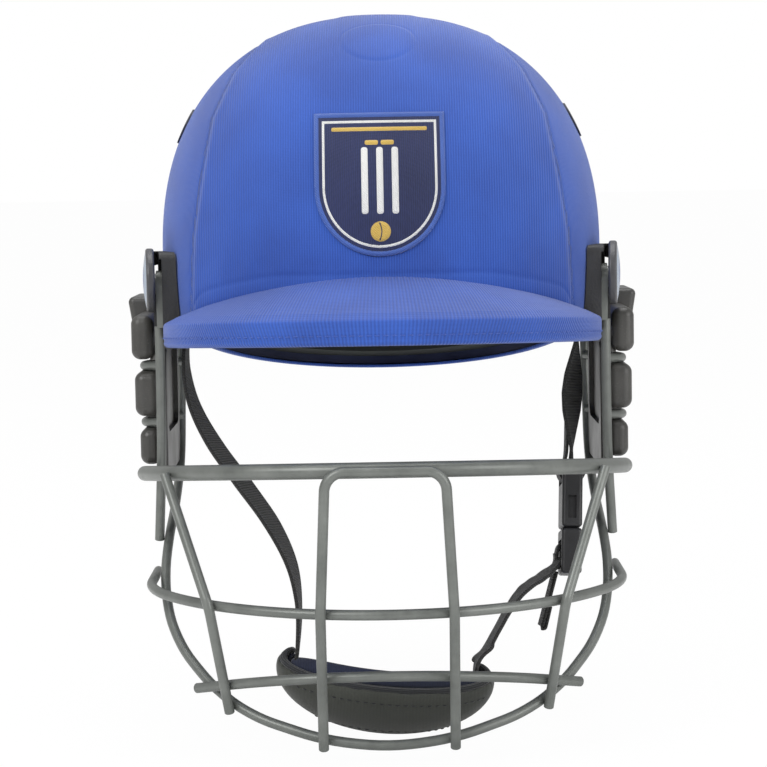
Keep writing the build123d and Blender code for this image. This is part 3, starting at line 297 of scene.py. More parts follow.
block_plastic = moulded_material("block_plastic", (0.01, 0.01, 0.011), (0.024, 0.024, 0.026))
cap_plastic = moulded_material("cap_plastic", (0.04, 0.04, 0.043), (0.075, 0.075, 0.08), rough=(0.3, 0.45))
buckle_plastic = moulded_material("buckle_plastic", (0.006, 0.006, 0.007), (0.018, 0.018, 0.02),
                                  rough=(0.32, 0.48), grain=1600.0, depth=0.00005)
fixing_steel = metal_material("fixing_steel", (0.55, 0.55, 0.57))


def set_material(obj, material):
    obj.data.materials.clear()
    obj.data.materials.append(material)


plain_finishes = {
    "outer_shell": shell_plastic, "crown_plug": shell_plastic, "peak": shell_plastic,
    "crown_liner": foam, "front_liner": foam, "rear_liner": foam,
    "top_bar": steel_grey, "second_bar": steel_grey, "third_bar": steel_grey,
    "jaw_wire": steel_grey, "centre_hoop": steel_grey,
    "buckle_socket": buckle_plastic, "buckle_insert": buckle_plastic,
    "rear_prong": buckle_plastic, "front_prong": buckle_plastic,
    "crown_cover": royal, "peak_cover": royal_peak, "front_patch": felt,
    "crown_pad": lining_cloth, "brow_pad": lining_cloth, "nape_pad": lining_cloth,
    "chin_cup": cup_cloth, "chin_cup_pad": cup_navy, "lower_strap": webbing, "strap_tail": webbing,
}
for name, finish in (
    ("liner", foam), ("pad", lining_cloth), ("vent", vent_plastic), ("upright", steel_grey),
    ("slant_wire", steel_grey), ("upper_rung", steel_grey), ("lower_rung", steel_grey),
    ("ear_guard", ear_plastic), ("mount_block", block_plastic), ("pivot_screw", fixing_steel),
    ("shell_nut", fixing_steel), ("strap_rivet", fixing_steel), ("cap", cap_plastic),
    ("strap", webbing),
):
    for full_name in side_names(name):
        plain_finishes[full_name] = finish
for full_name, finish in plain_finishes.items():
    set_material(NODES[full_name], finish)
for full_name in side_names("cap_label"):
    middle = tuple((a + b) / 2 for a, b in zip(*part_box(full_name)))
    set_material(NODES[full_name], label_material(full_name + "_resin", middle))


# Mesh helpers
def linked(name, data):
    """A new object of the scene."""
    obj = bpy.data.objects.new(name, data)
    scene.collection.objects.link(obj)
    return obj


def shade_smooth(mesh):
    mesh.polygons.foreach_set("use_smooth", [True] * len(mesh.polygons))


def new_object(name, verts, faces, material, uvs):
    """A mesh object from points in millimetres; uvs are in metres, one a vertex."""
    mesh = bpy.data.meshes.new(name)
    mesh.from_pydata([tuple(c * MM for c in v) for v in verts], [], faces)
    mesh.update()
    layer = mesh.uv_layers.new(name="UVMap")
    for loop in mesh.loops:
        layer.data[loop.index].uv = uvs[loop.vertex_index]
    shade_smooth(mesh)
    mesh.materials.append(material)
    return linked(name, mesh)


def grid_faces(rows, columns, closed=False):
    faces = []
    for row in range(rows - 1):
        for column in range(columns if closed else columns - 1):
            after = (column + 1) % columns
            faces.append((row * columns + column, row * columns + after,
                          (row + 1) * columns + after, (row + 1) * columns + column))
    return faces


def end_faces(rows, columns):
    """The two faces that close the ends of a tube of rows of columns points."""
    return [tuple(range(columns))[::-1], tuple((rows - 1) * columns + column for column in range(columns))]


def fix_normals(obj):
    work = bmesh.new()
    work.from_mesh(obj.data)
    bmesh.ops.recalc_face_normals(work, faces=work.faces)
    work.to_mesh(obj.data)
    work.free()


def add_modifier(obj, kind, **settings):
    modifier = obj.modifiers.new(kind.lower(), kind)
    for key, value in settings.items():
        setattr(modifier, key, value)
    return modifier


def apply_modifiers(obj):
    """Bakes obj's modifiers into its mesh."""
    graph = bpy.context.evaluated_depsgraph_get()
    finished = bpy.data.meshes.new_from_object(obj.evaluated_get(graph), depsgraph=graph)
    obj.modifiers.clear()
    old = obj.data
    obj.data = finished
    bpy.data.meshes.remove(old)


def tube(name, points, radius, material, flat, closed=False, sides=14):
    """A cord through points in millimetres, with its height along face scaled by flat."""
    count = len(points)
    verts, uvs, run = [], [], 0.0
    up = Vector((0, 0, 1))
    for index, point in enumerate(points):
        here = Vector(point)
        ahead = Vector(points[(index + 1) % count]) if closed or index < count - 1 else here
        behind = Vector(points[index - 1]) if closed or index > 0 else here
        along = (ahead - behind).normalized()
        face = up - along * up.dot(along)
        face = face.normalized() if face.length > 1e-6 else along.orthogonal().normalized()
        up = face
        across = along.cross(face)
        if index:
            run += (here - Vector(points[index - 1])).length
        for step in range(sides):
            turn = 2 * pi * step / sides
            verts.append(here + across * radius * cos(turn) + face * radius * flat * sin(turn))
            uvs.append((radius * 2 * pi * step / sides * MM, run * MM))
    faces = grid_faces(count, sides, closed=True)
    if closed:
        last = (count - 1) * sides
        for step in range(sides):
            after = (step + 1) % sides
            faces.append((last + step, last + after, after, step))
    else:
        faces += end_faces(count, sides)
    obj = new_object(name, verts, faces, material, uvs)
    fix_normals(obj)
    return obj


# Share of a stitch's length, share of its radius, and rise in radii, for each ring of points
STITCH_RINGS = (0.0, 0.15, -0.3), (0.2, 0.85, 0.1), (0.5, 1.0, 0.35), (0.8, 0.85, 0.1), (1.0, 0.15, -0.3)
STITCH_SIDES = 6


def stitches(name, points, material, length, gap, radius, outward):
    """One object of short thread stitches along points in millimetres, outward(point) from the cloth."""
    verts, faces, uvs = [], [], []
    path = [Vector(p) for p in points]
    lengths = [0.0]
    for a, b in zip(path, path[1:]):
        lengths.append(lengths[-1] + (b - a).length)

    def at(run):
        index = min(max(np.searchsorted(lengths, run) - 1, 0), len(path) - 2)
        span = lengths[index + 1] - lengths[index]
        share = (run - lengths[index]) / span if span else 0
        return path[index].lerp(path[index + 1], min(max(share, 0), 1))

    run = gap
    while run + length < lengths[-1]:
        first, middle, last = at(run), at(run + length / 2), at(run + length)
        along = (last - first).normalized()
        lift = outward(middle)
        lift = (lift - along * lift.dot(along)).normalized()
        across = along.cross(lift)
        base = len(verts)
        for share, size, rise in STITCH_RINGS:
            centre = at(run + length * share) + lift * rise * radius
            for step in range(STITCH_SIDES):
                turn = 2 * pi * step / STITCH_SIDES
                verts.append(centre + across * radius * size * cos(turn) + lift * radius * size * sin(turn))
                uvs.append((step * 0.0002, (run + length * share) * MM))
        for face in grid_faces(len(STITCH_RINGS), STITCH_SIDES, closed=True):
            faces.append(tuple(base + corner for corner in face))
        run += length + gap
    return new_object(name, verts, faces, material, uvs)


# The helmet's form
HALF_WIDTH, HALF_LENGTH, HEIGHT, MIDDLE_Y = 99.4, 119.0, 106.5, 6.0
CROWN_Z = 23.5
EQUATOR_Z = CROWN_Z - HEIGHT
PLAN_POWER, SIDE_POWER, LOWER_REACH = 2.67, 2.3, 190.0
FRONT_Y = MIDDLE_Y - HALF_LENGTH

# The outline of the widest section, and how far each of its points lies along it
angles = np.linspace(0, 2 * pi, 14401)
plan_x = HALF_WIDTH * np.cos(angles)
plan_y = HALF_LENGTH * np.sign(np.sin(angles)) * np.abs(np.sin(angles)) ** (2 / PLAN_POWER)
plan_run = np.concatenate([[0], np.cumsum(np.hypot(np.diff(plan_x), np.diff(plan_y)))])
PLAN_LENGTH = plan_run[-1]


def section_share(z):
    """How far the section at height z reaches, as a share of the widest one."""
    z = np.asarray(z, dtype=float)
    above = np.clip((z - EQUATOR_Z) / HEIGHT, 0, 1)
    below = np.clip((EQUATOR_Z - z) / LOWER_REACH, 0, 0.99)
    return np.where(z >= EQUATOR_Z, (1 - above ** SIDE_POWER) ** (1 / SIDE_POWER), np.sqrt(1 - below ** 2))


def on_dome(x, z, out):
    """The front point of the form at x and z, in millimetres, out from the cloth."""
    share = float(section_share(z))
    reach = min(abs(x) / (HALF_WIDTH * share), 0.999)
    y = (1 - reach ** 2) ** (1 / PLAN_POWER) * HALF_LENGTH * share
    point = Vector((x, MIDDLE_Y - y, z))
    return point + dome_normal(point) * out


def dome_normal(point):
    """Outwards at a point of the form, from the gradient of its equation."""
    x, y, z = point
    step = 0.05

    def level(px, py, pz):
        share = float(section_share(pz))
        return (abs(px) / HALF_WIDTH / share) ** 2 + (abs(py - MIDDLE_Y) / HALF_LENGTH / share) ** PLAN_POWER

    here = level(x, y, z)
    slope = Vector((level(x + step, y, z) - here, level(x, y + step, z) - here, level(x, y, z + step) - here))
    return slope.normalized()


# The shell's lower edge as y and z, front to back, and the same with its corners rounded
RIM_CORNERS = [(-300, -97), (-104, -97), (-92, -100.5), (-77, -105), (-67, -118), (-24, -118), (-10, -106),
               (40, -106), (58, -126), (165, -158.5), (300, -199.5)]
RIM_ROUNDING = 41
rim_y = np.linspace(-200, 240, 2201)
rim_z = np.interp(rim_y, [c[0] for c in RIM_CORNERS], [c[1] for c in RIM_CORNERS])
window = np.hanning(RIM_ROUNDING)
rim_z = np.convolve(np.pad(rim_z, RIM_ROUNDING // 2, mode="edge"), window / window.sum(), mode="valid")


SEAM_HEIGHTS, SEAM_HALF_WIDTHS = [-140, -73.5, -22.8, -2.2, 12], [84.0, 80.0, 71.7, 62.8, 52.0]


def seam_x(z):
    """Half width of the front panel, where the side panel's seam runs, at height z."""
    return np.interp(z, SEAM_HEIGHTS, SEAM_HALF_WIDTHS)


def bump_shape(distance, width):
    return np.exp(-(distance / width) ** 2)


# Middle and radius of the plug that shows through the cloth, and half width of the top panel
PLUG_Y, PLUG_RADIUS, TOP_PANEL_HALF_WIDTH = -62.0, 15.2, 17.0


def cloth_relief(x, y, z):
    """How far the cloth stands out from the form, in millimetres."""
    relief = np.full_like(x, 0.1)
    # Side panels lower than the front one, with a groove in the seam and a ridge beside it
    beyond_seam = np.abs(x) - seam_x(z)
    front_part = np.clip((95 - y) / 30, 0, 1)
    relief -= 0.55 * front_part * (1 / (1 + np.exp(-beyond_seam / 0.8)))
    relief -= 0.6 * front_part * bump_shape(beyond_seam, 0.9)
    relief += 0.25 * front_part * bump_shape(beyond_seam + 2.4, 1.6)
    # Raised panel along the top
    top = np.clip((z + 30) / 30, 0, 1)
    relief += 0.5 * top / (1 + np.exp((np.abs(x) - TOP_PANEL_HALF_WIDTH) / 0.9))
    # Raised disc over the plug, with a groove round it
    from_plug = np.sqrt(x ** 2 + (y - PLUG_Y) ** 2)
    near_top = z > -40
    relief += np.where(near_top, 0.35 / (1 + np.exp((from_plug - PLUG_RADIUS) / 0.45)), 0)
    relief -= np.where(near_top, 0.18 * bump_shape(from_plug - PLUG_RADIUS - 1.0, 0.6), 0)
    # Small folds above the peak
    brow = np.clip((-y - 30) / 40, 0, 1)
    relief += 0.2 * brow * bump_shape(z + 86, 4) * np.sin(np.arctan2(x, -y) * 34 + 2 * np.sin(x / 9))
    return relief


# Crown cover: columns round the outline, rows from the turned-in hem up to the top
columns, rows = 640, 210
EDGE_BELOW_RIM, FIRST_ROW_RISE, HEM_GROOVE_RISE, HEM_STITCH_RISE = 1.3, 2.6, 9.2, 9.4
runs = np.arange(columns) / columns * PLAN_LENGTH
base_x, base_y = np.interp(runs, plan_run, plan_x), np.interp(runs, plan_run, plan_y)
edge_z = np.full(columns, -120.0)
for _ in range(8):
    edge_z = np.interp(MIDDLE_Y + base_y * section_share(edge_z), rim_y, rim_z) - EDGE_BELOW_RIM
grid = []
for inset, rise in ((4.4, 1.5), (4.4, 1.1), (4.2, 0.6), (3.4, 0.1), (2.0, -0.1), (0.7, 0.4), (0.1, 1.5)):
    z = edge_z + rise
    share = section_share(z)
    grid.append((base_x * share * (1 - inset / HALF_WIDTH),
                 MIDDLE_Y + base_y * share * (1 - inset / HALF_LENGTH), z))
for climb in np.linspace(0, 1, rows + 1)[1:]:
    lift = np.sin(climb * pi / 2)
    z = edge_z + FIRST_ROW_RISE + (CROWN_Z - 0.02 - edge_z - FIRST_ROW_RISE) * lift
    share = section_share(z)
    x, y = base_x * share, MIDDLE_Y + base_y * share
    out = cloth_relief(x, y, z)
    rise = z - edge_z
    out = out + 0.35 * bump_shape(rise - 4.5, 3.0) - 0.45 * bump_shape(rise - HEM_GROOVE_RISE, 0.8)
    z_out = out * np.clip((z - EQUATOR_Z) / HEIGHT, 0, 1) ** 1.2
    flat_out = out * np.sqrt(np.clip(1 - (z_out / np.maximum(np.abs(out), 1e-6)) ** 2, 0, 1))
    reach = np.hypot(base_x, base_y)
    grid.append((x + flat_out * base_x / reach, y + flat_out * base_y / reach, z + z_out))
# Ribs follow x on the front panel and the outline on the side panels
verts, uvs = [], []
run_up = np.zeros(columns)
previous = grid[0]
for x, y, z in grid:
    run_up = run_up + np.sqrt((x - previous[0]) ** 2 + (y - previous[1]) ** 2 + (z - previous[2]) ** 2)
    previous = (x, y, z)
    for column in range(columns):
        verts.append((x[column], y[column], z[column]))
        beyond_seam = abs(x[column]) > seam_x(z[column])
        run_across = runs[column] if beyond_seam else x[column]
        uvs.append((run_across * MM, run_up[column] * MM))
faces = grid_faces(len(grid), columns, closed=True)
top = len(verts)
verts.append((0, MIDDLE_Y, CROWN_Z + 0.55))
uvs.append((0, float(run_up.mean()) * MM))
last = (len(grid) - 1) * columns
faces += [(last + c, last + (c + 1) % columns, top) for c in range(columns)]


VENT_Y, VENT_Z, VENT_LENGTH, VENT_HEIGHT, VENT_HOLE_RADIUS = 2.0, -25.0, 56.0, 13.0, 6.2


def in_vent(x, y, z):
    """Whether a point of the cloth lies over a vent insert's slots."""
    along = max(abs(y - VENT_Y) - (VENT_LENGTH - VENT_HEIGHT) / 2, 0)
    return z > -60 and np.hypot(along, z - VENT_Z) < VENT_HOLE_RADIUS and abs(x) > 60


faces = [f for f in faces if not all(in_vent(*verts[i]) for i in f)]
crown_cloth = new_object("crown_cloth", verts, faces, royal, uvs)
fix_normals(crown_cloth)
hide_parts("crown_cover")
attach(crown_cloth, "helmet")

# Stitching along the hem
hem_line = []
for column in range(0, columns, 2):
    z = edge_z[column] + HEM_STITCH_RISE
    share = float(section_share(z))
    hem_line.append(Vector((base_x[column] * share, MIDDLE_Y + base_y[column] * share, z)))
front = min(range(len(hem_line)), key=lambda i: hem_line[i].y)
hem_line = hem_line[front:] + hem_line[:front]
hem_line = [p + dome_normal(p) * 0.12 for p in hem_line if p.y > -70]
hem_row = stitches("hem_stitches", hem_line, thread_royal, 2.4, 1.4, 0.24, dome_normal)
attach(hem_row, "helmet")

# Peak cover
PEAK_RADIUS, PEAK_CENTRE_Y, JUNCTION_Z = 94.0, -64.0, -90.0
CREST_INSET, CREST_DROP, LIP_HEIGHT, LIP_WIDTH, PLATE, ROOT_REACH = 6.0, 15.0, 13.0, 6.5, 5.5, 7.0
LIP_GROOVE_RISE, LIP_GROOVE_DEPTH, LIP_STITCH_RISE, PEAK_TURN_DEG = 3.0, 0.35, 4.1, 86.9
crest_r = PEAK_RADIUS - CREST_INSET
crest_z = JUNCTION_Z - CREST_DROP
junction_r = PEAK_CENTRE_Y - FRONT_Y
slope = CREST_DROP / (crest_r - junction_r)
root_r = junction_r - ROOT_REACH
root_z = JUNCTION_Z + slope * ROOT_REACH
lip_r = PEAK_RADIUS - LIP_WIDTH
# The peak's section as radius and height, from its root over the crest and round the lip
corners = [(root_r, root_z), (crest_r, crest_z), (PEAK_RADIUS, crest_z - CREST_INSET / 2),
           (PEAK_RADIUS, crest_z - LIP_HEIGHT), (lip_r, crest_z - LIP_HEIGHT), (lip_r, crest_z - PLATE),
           (root_r, root_z - PLATE)]
corner_radii = [0, 2.6, 2.2, 2.6, 1.2, 1.5, 0]


def rounded(points, radii, steps=7):
    """A line through points with its corners rounded and its long runs divided."""
    line = [Vector(points[0])]
    for index in range(1, len(points) - 1):
        here = Vector(points[index])
        back, ahead = (Vector(points[index - 1]) - here), (Vector(points[index + 1]) - here)
        half = back.angle(ahead) / 2
        reach = min(radii[index] / tan(half), back.length * 0.49, ahead.length * 0.49)
        first, last = here + back.normalized() * reach, here + ahead.normalized() * reach
        for step in range(steps + 1):
            share = step / steps
            line.append(first.lerp(here, share).lerp(here.lerp(last, share), share))
    line.append(Vector(points[-1]))
    dense = []
    for a, b in zip(line, line[1:]):
        count = max(1, int((b - a).length / 1.6))
        dense += [a.lerp(b, step / count) for step in range(count)]
    return dense + [line[-1]]


profile = rounded(corners, corner_radii)
nose_up = radians(-3.5)


def tipped(x, y, z):
    """A point of the peak after it is tipped nose up about the brow."""
    dy, dz = y - FRONT_Y, z - JUNCTION_Z
    return (x, FRONT_Y + dy * cos(nose_up) - dz * sin(nose_up),
            JUNCTION_Z + dy * sin(nose_up) + dz * cos(nose_up))


verts, uvs = [], []
turns = np.linspace(-PEAK_TURN_DEG, PEAK_TURN_DEG, 261)
profile_run = np.concatenate([[0], np.cumsum([(b - a).length for a, b in zip(profile, profile[1:])])])
for (r, z), run in zip(profile, profile_run):
    in_groove = abs(r - PEAK_RADIUS) < 1.2 and abs(z - (crest_z - LIP_HEIGHT + LIP_GROOVE_RISE)) < 0.9
    radius = r - LIP_GROOVE_DEPTH if in_groove else r
    for turn in turns:
        angle = radians(turn)
        lift = 0.0
        if z > crest_z - 0.5 and r < crest_r - 4:
            folds = 0.1 * sin(turn * 1.9) * np.exp(-((r - junction_r - 2) / 3.0) ** 2)
            lift = 0.12 * noise.noise(Vector((turn / 9, r / 14, 3.1))) + folds
        x, y = radius * sin(angle), PEAK_CENTRE_Y - radius * cos(angle)
        verts.append(tipped(x, y, z + lift))
        uvs.append((angle * (PEAK_RADIUS + 1.2 * run) * MM, run * MM))
turn_count = len(turns)
faces = grid_faces(len(profile), turn_count)
faces.append(tuple(row * turn_count for row in range(len(profile))))
faces.append(tuple(row * turn_count + turn_count - 1 for row in range(len(profile)))[::-1])
peak_cloth = new_object("peak_cloth", verts, faces, royal_peak, uvs)
fix_normals(peak_cloth)
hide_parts("peak_cover")
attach(peak_cloth, "helmet")
lip_line = []
stitch_r = PEAK_RADIUS + 0.08
for turn in np.linspace(-85, 85, 400):
    angle = radians(turn)
    lip_line.append(Vector(tipped(stitch_r * sin(angle), PEAK_CENTRE_Y - stitch_r * cos(angle),
                                  crest_z - LIP_HEIGHT + LIP_STITCH_RISE)))
lip_row = stitches("peak_lip_stitches", lip_line, thread_royal, 2.2, 1.1, 0.24,
                   lambda p: Vector((p.x, p.y - PEAK_CENTRE_Y, 0)).normalized())
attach(lip_row, "helmet")

# Shield on the brow: half width, top, height, and share of the height with straight sides
SHIELD_HALF, SHIELD_TOP, SHIELD_HEIGHT, SHIELD_STRAIGHT = 27.0, -23.0, 59.0, 0.52
BALL_Z, BALL_RADIUS = -71.6, 4.1
PATCH_EDGE_WIDTH, SLOPE_STEP = 1.4, 0.05


def wrapped_patch(name, inside, low, high, material, step, half=28.0, top=-22.0, bottom=-84.0):
    """A shape laid on the brow, from low at its edge to high: inside(x, z) is below 0 where it is."""
    xs = np.arange(-half, half + step, step)
    zs = np.arange(bottom, top + step, step)
    work = bmesh.new()
    cells = {}

    def vertex(i, j):
        if (i, j) not in cells:
            x, z = xs[i], zs[j]
            value = inside(x, z)
            if -step < value < step * 1.5:
                gx = (inside(x + SLOPE_STEP, z) - value) / SLOPE_STEP
                gz = (inside(x, z + SLOPE_STEP) - value) / SLOPE_STEP
                move = value / max(gx * gx + gz * gz, 1e-6)
                x, z = x - gx * move, z - gz * move
            rim = min(max(-inside(x, z) / PATCH_EDGE_WIDTH, 0), 1)
            height_off = low + (high - low) * sqrt(1 - (1 - rim) ** 2)
            cells[(i, j)] = work.verts.new(on_dome(x, z, height_off) * MM)
        return cells[(i, j)]

    for i in range(len(xs) - 1):
        for j in range(len(zs) - 1):
            if inside((xs[i] + xs[i + 1]) / 2, (zs[j] + zs[j + 1]) / 2) < 0.0:
                work.faces.new((vertex(i, j), vertex(i + 1, j), vertex(i + 1, j + 1), vertex(i, j + 1)))
    bmesh.ops.recalc_face_normals(work, faces=work.faces)
    mesh = bpy.data.meshes.new(name)
    work.to_mesh(mesh)
    work.free()
    shade_smooth(mesh)
    layer = mesh.uv_layers.new(name="UVMap")
    for loop in mesh.loops:
        place = mesh.vertices[loop.vertex_index].co
        layer.data[loop.index].uv = (place.x, place.z)
    mesh.materials.append(material)
    if sum(p.normal.y for p in mesh.polygons) > 0:
        mesh.flip_normals()
    obj = linked(name, mesh)
    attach(obj, "helmet")
    return obj


def shield(x, z, margin=0.0):
    """About the signed distance to the edge of the shield drawn in by margin."""
    half, top = SHIELD_HALF - margin, SHIELD_TOP - margin
    bottom = SHIELD_TOP - SHIELD_HEIGHT + margin * 1.05
    shoulder = SHIELD_TOP - SHIELD_HEIGHT * SHIELD_STRAIGHT
    sides = abs(x) - half
    if z > shoulder:
        return max(sides, z - top)
    drop = shoulder - bottom
    reach = sqrt((x / half) ** 2 + ((shoulder - z) / drop) ** 2)
    return (reach - 1) * min(half, drop)


def band_between(x, z, outer, inner):
    return max(shield(x, z, outer), -shield(x, z, inner))


def disc(x, z, radius, cx=0.0):
    return sqrt((x - cx) ** 2 + (z - BALL_Z) ** 2) - radius


def rounded_bar(x, z, cx, cz, half_x, half_z, corner):
    dx, dz = abs(x - cx) - half_x + corner, abs(z - cz) - half_z + corner
    return sqrt(max(dx, 0) ** 2 + max(dz, 0) ** 2) + min(max(dx, dz), 0) - corner


patch = wrapped_patch("shield_patch", shield, 0.0, 1.0, felt, step=0.8)
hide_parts("front_patch")
wrapped_patch("shield_edge_cord", lambda x, z: band_between(x, z, 0.3, 2.3), 0.9, 1.6, thread_blue, step=0.4)
wrapped_patch("shield_inline", lambda x, z: band_between(x, z, 3.6, 4.6), 1.0, 1.45, thread_white, step=0.3)
for index, cx in enumerate((-6.2, 0.0, 6.2)):
    wrapped_patch("stump_%d" % (index + 1),
                  lambda x, z, cx=cx: rounded_bar(x, z, cx, -51.0, 1.35, 13.5, 1.0),
                  1.0, 1.6, thread_white, step=0.4, half=9.5, top=-35, bottom=-66)
for index, cx in enumerate((-3.25, 3.25)):
    wrapped_patch("bail_%d" % (index + 1),
                  lambda x, z, cx=cx: rounded_bar(x, z, cx, -35.6, 2.7, 0.95, 0.7),
                  1.0, 1.6, thread_gold, step=0.35, half=7.5, top=-33, bottom=-38)
wrapped_patch("ball_disc", lambda x, z: disc(x, z, BALL_RADIUS),
              1.0, 1.7, thread_gold, step=0.4, half=5.5, top=-66, bottom=-77)
# A seam in the ball: a thin arc about a middle beside it, kept inside the disc
wrapped_patch("ball_seam",
              lambda x, z: max(abs(disc(x, z, 7.4, cx=-7.0)) - 0.38, disc(x, z, BALL_RADIUS - 0.5)),
              1.6, 1.95, felt, step=0.25, half=5.0, top=-67, bottom=-76.5)
wrapped_patch("chief_band",
              lambda x, z: max(rounded_bar(x, z, 0, -30.1, 19.5, 0.8, 0.5), shield(x, z, 5.5)),
              1.0, 1.5, thread_gold, step=0.35, half=21.0, top=-28.5, bottom=-32)


# Pads and chin cup
CLOTH_FRAMES = 20


def soft_copy(name, source, material, voxel, pressure, cap, shrink=0.0, pin_side=None):
    """A padded piece: the node's form remeshed, then swelled by a cloth simulation up to cap."""
    mesh = NODES[source].data.copy()
    mesh.transform(NODES[source].matrix_world)
    obj = linked(name, mesh)
    set_material(obj, material)
    add_modifier(obj, "REMESH", mode="VOXEL", voxel_size=voxel * MM, use_smooth_shade=True)
    apply_modifiers(obj)
    add_modifier(obj, "SMOOTH", factor=0.5, iterations=4)
    apply_modifiers(obj)
    if shrink:
        normals = [v.normal.copy() for v in obj.data.vertices]
        for vertex, normal in zip(obj.data.vertices, normals):
            vertex.co -= normal * shrink * MM
    rest = [v.co.copy() for v in obj.data.vertices]
    group = obj.vertex_groups.new(name="held")
    held = [v.index for v in obj.data.vertices if pin_side and pin_side(v.co, v.normal)]
    if held:
        group.add(held, 1.0, "REPLACE")
    cloth = add_modifier(obj, "CLOTH")
    cloth.settings.use_pressure = True
    cloth.settings.uniform_pressure_force = pressure
    cloth.settings.tension_stiffness = 22
    cloth.settings.compression_stiffness = 12
    cloth.settings.bending_stiffness = 0.4
    cloth.settings.mass = 0.25
    cloth.settings.quality = 6
    cloth.settings.effector_weights.gravity = 0
    if held:
        cloth.settings.vertex_group_mass = "held"
    cloth.collision_settings.use_collision = False
    cloth.point_cache.frame_start = 1
    cloth.point_cache.frame_end = CLOTH_FRAMES
    for frame_number in range(1, CLOTH_FRAMES + 1):
        scene.frame_set(frame_number)
    apply_modifiers(obj)
    scene.frame_set(1)
    for vertex, before in zip(obj.data.vertices, rest):
        move = vertex.co - before
        if move.length > cap * MM:
            vertex.co = before + move.normalized() * cap * MM
    obj.vertex_groups.clear()
    add_modifier(obj, "SUBSURF", levels=1, render_levels=1)
    apply_modifiers(obj)
    shade_smooth(obj.data)
    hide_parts(source)
    return obj


def outer_side(point, normal):
    """Points on a pad's outer side, where it rests on the liner."""
    away = Vector((point.x, point.y - MIDDLE_Y * MM, point.z - EQUATOR_Z * MM * 0.9))
    return normal.dot(away.normalized()) > 0.35


for source, cap in (("crown_pad", 2.6), ("brow_pad", 2.2), ("nape_pad", 2.2), ("left_pad", 2.2),
                    ("right_pad", 2.2)):
    pad = soft_copy(source + "_cushion", source, lining_cloth, 2.6, 5.0, cap, shrink=0.8, pin_side=outer_side)
    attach(pad, "helmet")
cup_front = soft_copy("chin_cup_panel", "chin_cup", cup_cloth, 1.3, 1.5, 0.9)
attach(cup_front, "chin_cup")
cup_inner = soft_copy("chin_cup_lining", "chin_cup_pad", cup_navy, 1.5, 4.0, 1.5, shrink=0.3)
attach(cup_inner, "chin_cup")


def placed(place, tip_deg, lean_deg):
    """The matrix of a piece at place, leaned about its Y and then tipped about its X."""
    return (Matrix.Translation(place) @ Matrix.Rotation(radians(tip_deg), 4, "X")
            @ Matrix.Rotation(radians(lean_deg), 4, "Y"))


cup_matrix = placed((-1.3, -83.0, -261.0), 12.0, 6.5)


def cup_point(x, y, z):
    return cup_matrix @ Vector((x, y, z))


# The cup is part of an ellipsoid, cut open above CUP_TOP and behind CUP_REAR
CUP_HALF_WIDTH, CUP_HALF_DEPTH, CUP_DROP, CUP_TOP, CUP_REAR = 47.0, 27.0, 25.5, 3.0, 9.0
BINDING_INSET, LINING_RIM_INSET = 2.6, 3.4
edge_x, edge_y, edge_drop = (size - BINDING_INSET for size in (CUP_HALF_WIDTH, CUP_HALF_DEPTH, CUP_DROP))
top_scale = sqrt(1 - (CUP_TOP / edge_drop) ** 2)
rear_scale = sqrt(1 - (CUP_REAR / edge_y) ** 2)
top_start = np.arcsin(CUP_REAR / (edge_y * top_scale))
side_start = np.arcsin(CUP_TOP / (edge_drop * rear_scale))
edge_line = [cup_point(edge_x * top_scale * cos(turn), edge_y * top_scale * sin(turn), CUP_TOP)
             for turn in np.linspace(top_start, -pi - top_start, 90)]
edge_line += [cup_point(edge_x * rear_scale * cos(turn), CUP_REAR, edge_drop * rear_scale * sin(turn))
              for turn in np.linspace(pi - side_start, 2 * pi + side_start, 70)[1:-1]]
cup_edge = tube("chin_cup_binding", edge_line, 1.7, binding, 0.8, closed=True)
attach(cup_edge, "chin_cup")
# The lining's rolled edge, lower towards its two ends
rim_x, rim_depth = (edge_x - LINING_RIM_INSET) * top_scale, (edge_y - LINING_RIM_INSET) * top_scale
rim_line = [cup_point(rim_x * cos(turn), rim_depth * sin(turn), 6.6 - 9.0 * (1 - sin(-turn)) ** 2.2)
            for turn in np.linspace(-0.09 * pi, -0.91 * pi, 90)]
cup_rim = tube("chin_cup_lining_rim", rim_line, 2.3, cup_navy, 1.5)
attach(cup_rim, "chin_cup")
for index, height in enumerate((-2.5, -18.5)):
    outer_scale = sqrt(1 - (height / CUP_DROP) ** 2)
    line = [cup_point(CUP_HALF_WIDTH * outer_scale * cos(turn),
                      CUP_HALF_DEPTH * outer_scale * sin(turn), height)
            for turn in np.linspace(-0.12 * pi, -0.88 * pi, 120)]
    row = stitches("chin_cup_stitches_%d" % (index + 1), line, binding, 2.2, 1.2, 0.3,
                   lambda p: (p - cup_matrix.translation).normalized())
    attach(row, "chin_cup")


# Webbing
STRAP_WIDTH, STRAP_THICKNESS, BAND_STEPS, BOW_STEPS = 15.0, 1.6, 10, 8
LOOP_WIDTH, LOOP_THICKNESS, FOLD_WIDTH = 14.2, 1.3, 14.6
FORE_AFT = Vector((0, 1, 0))


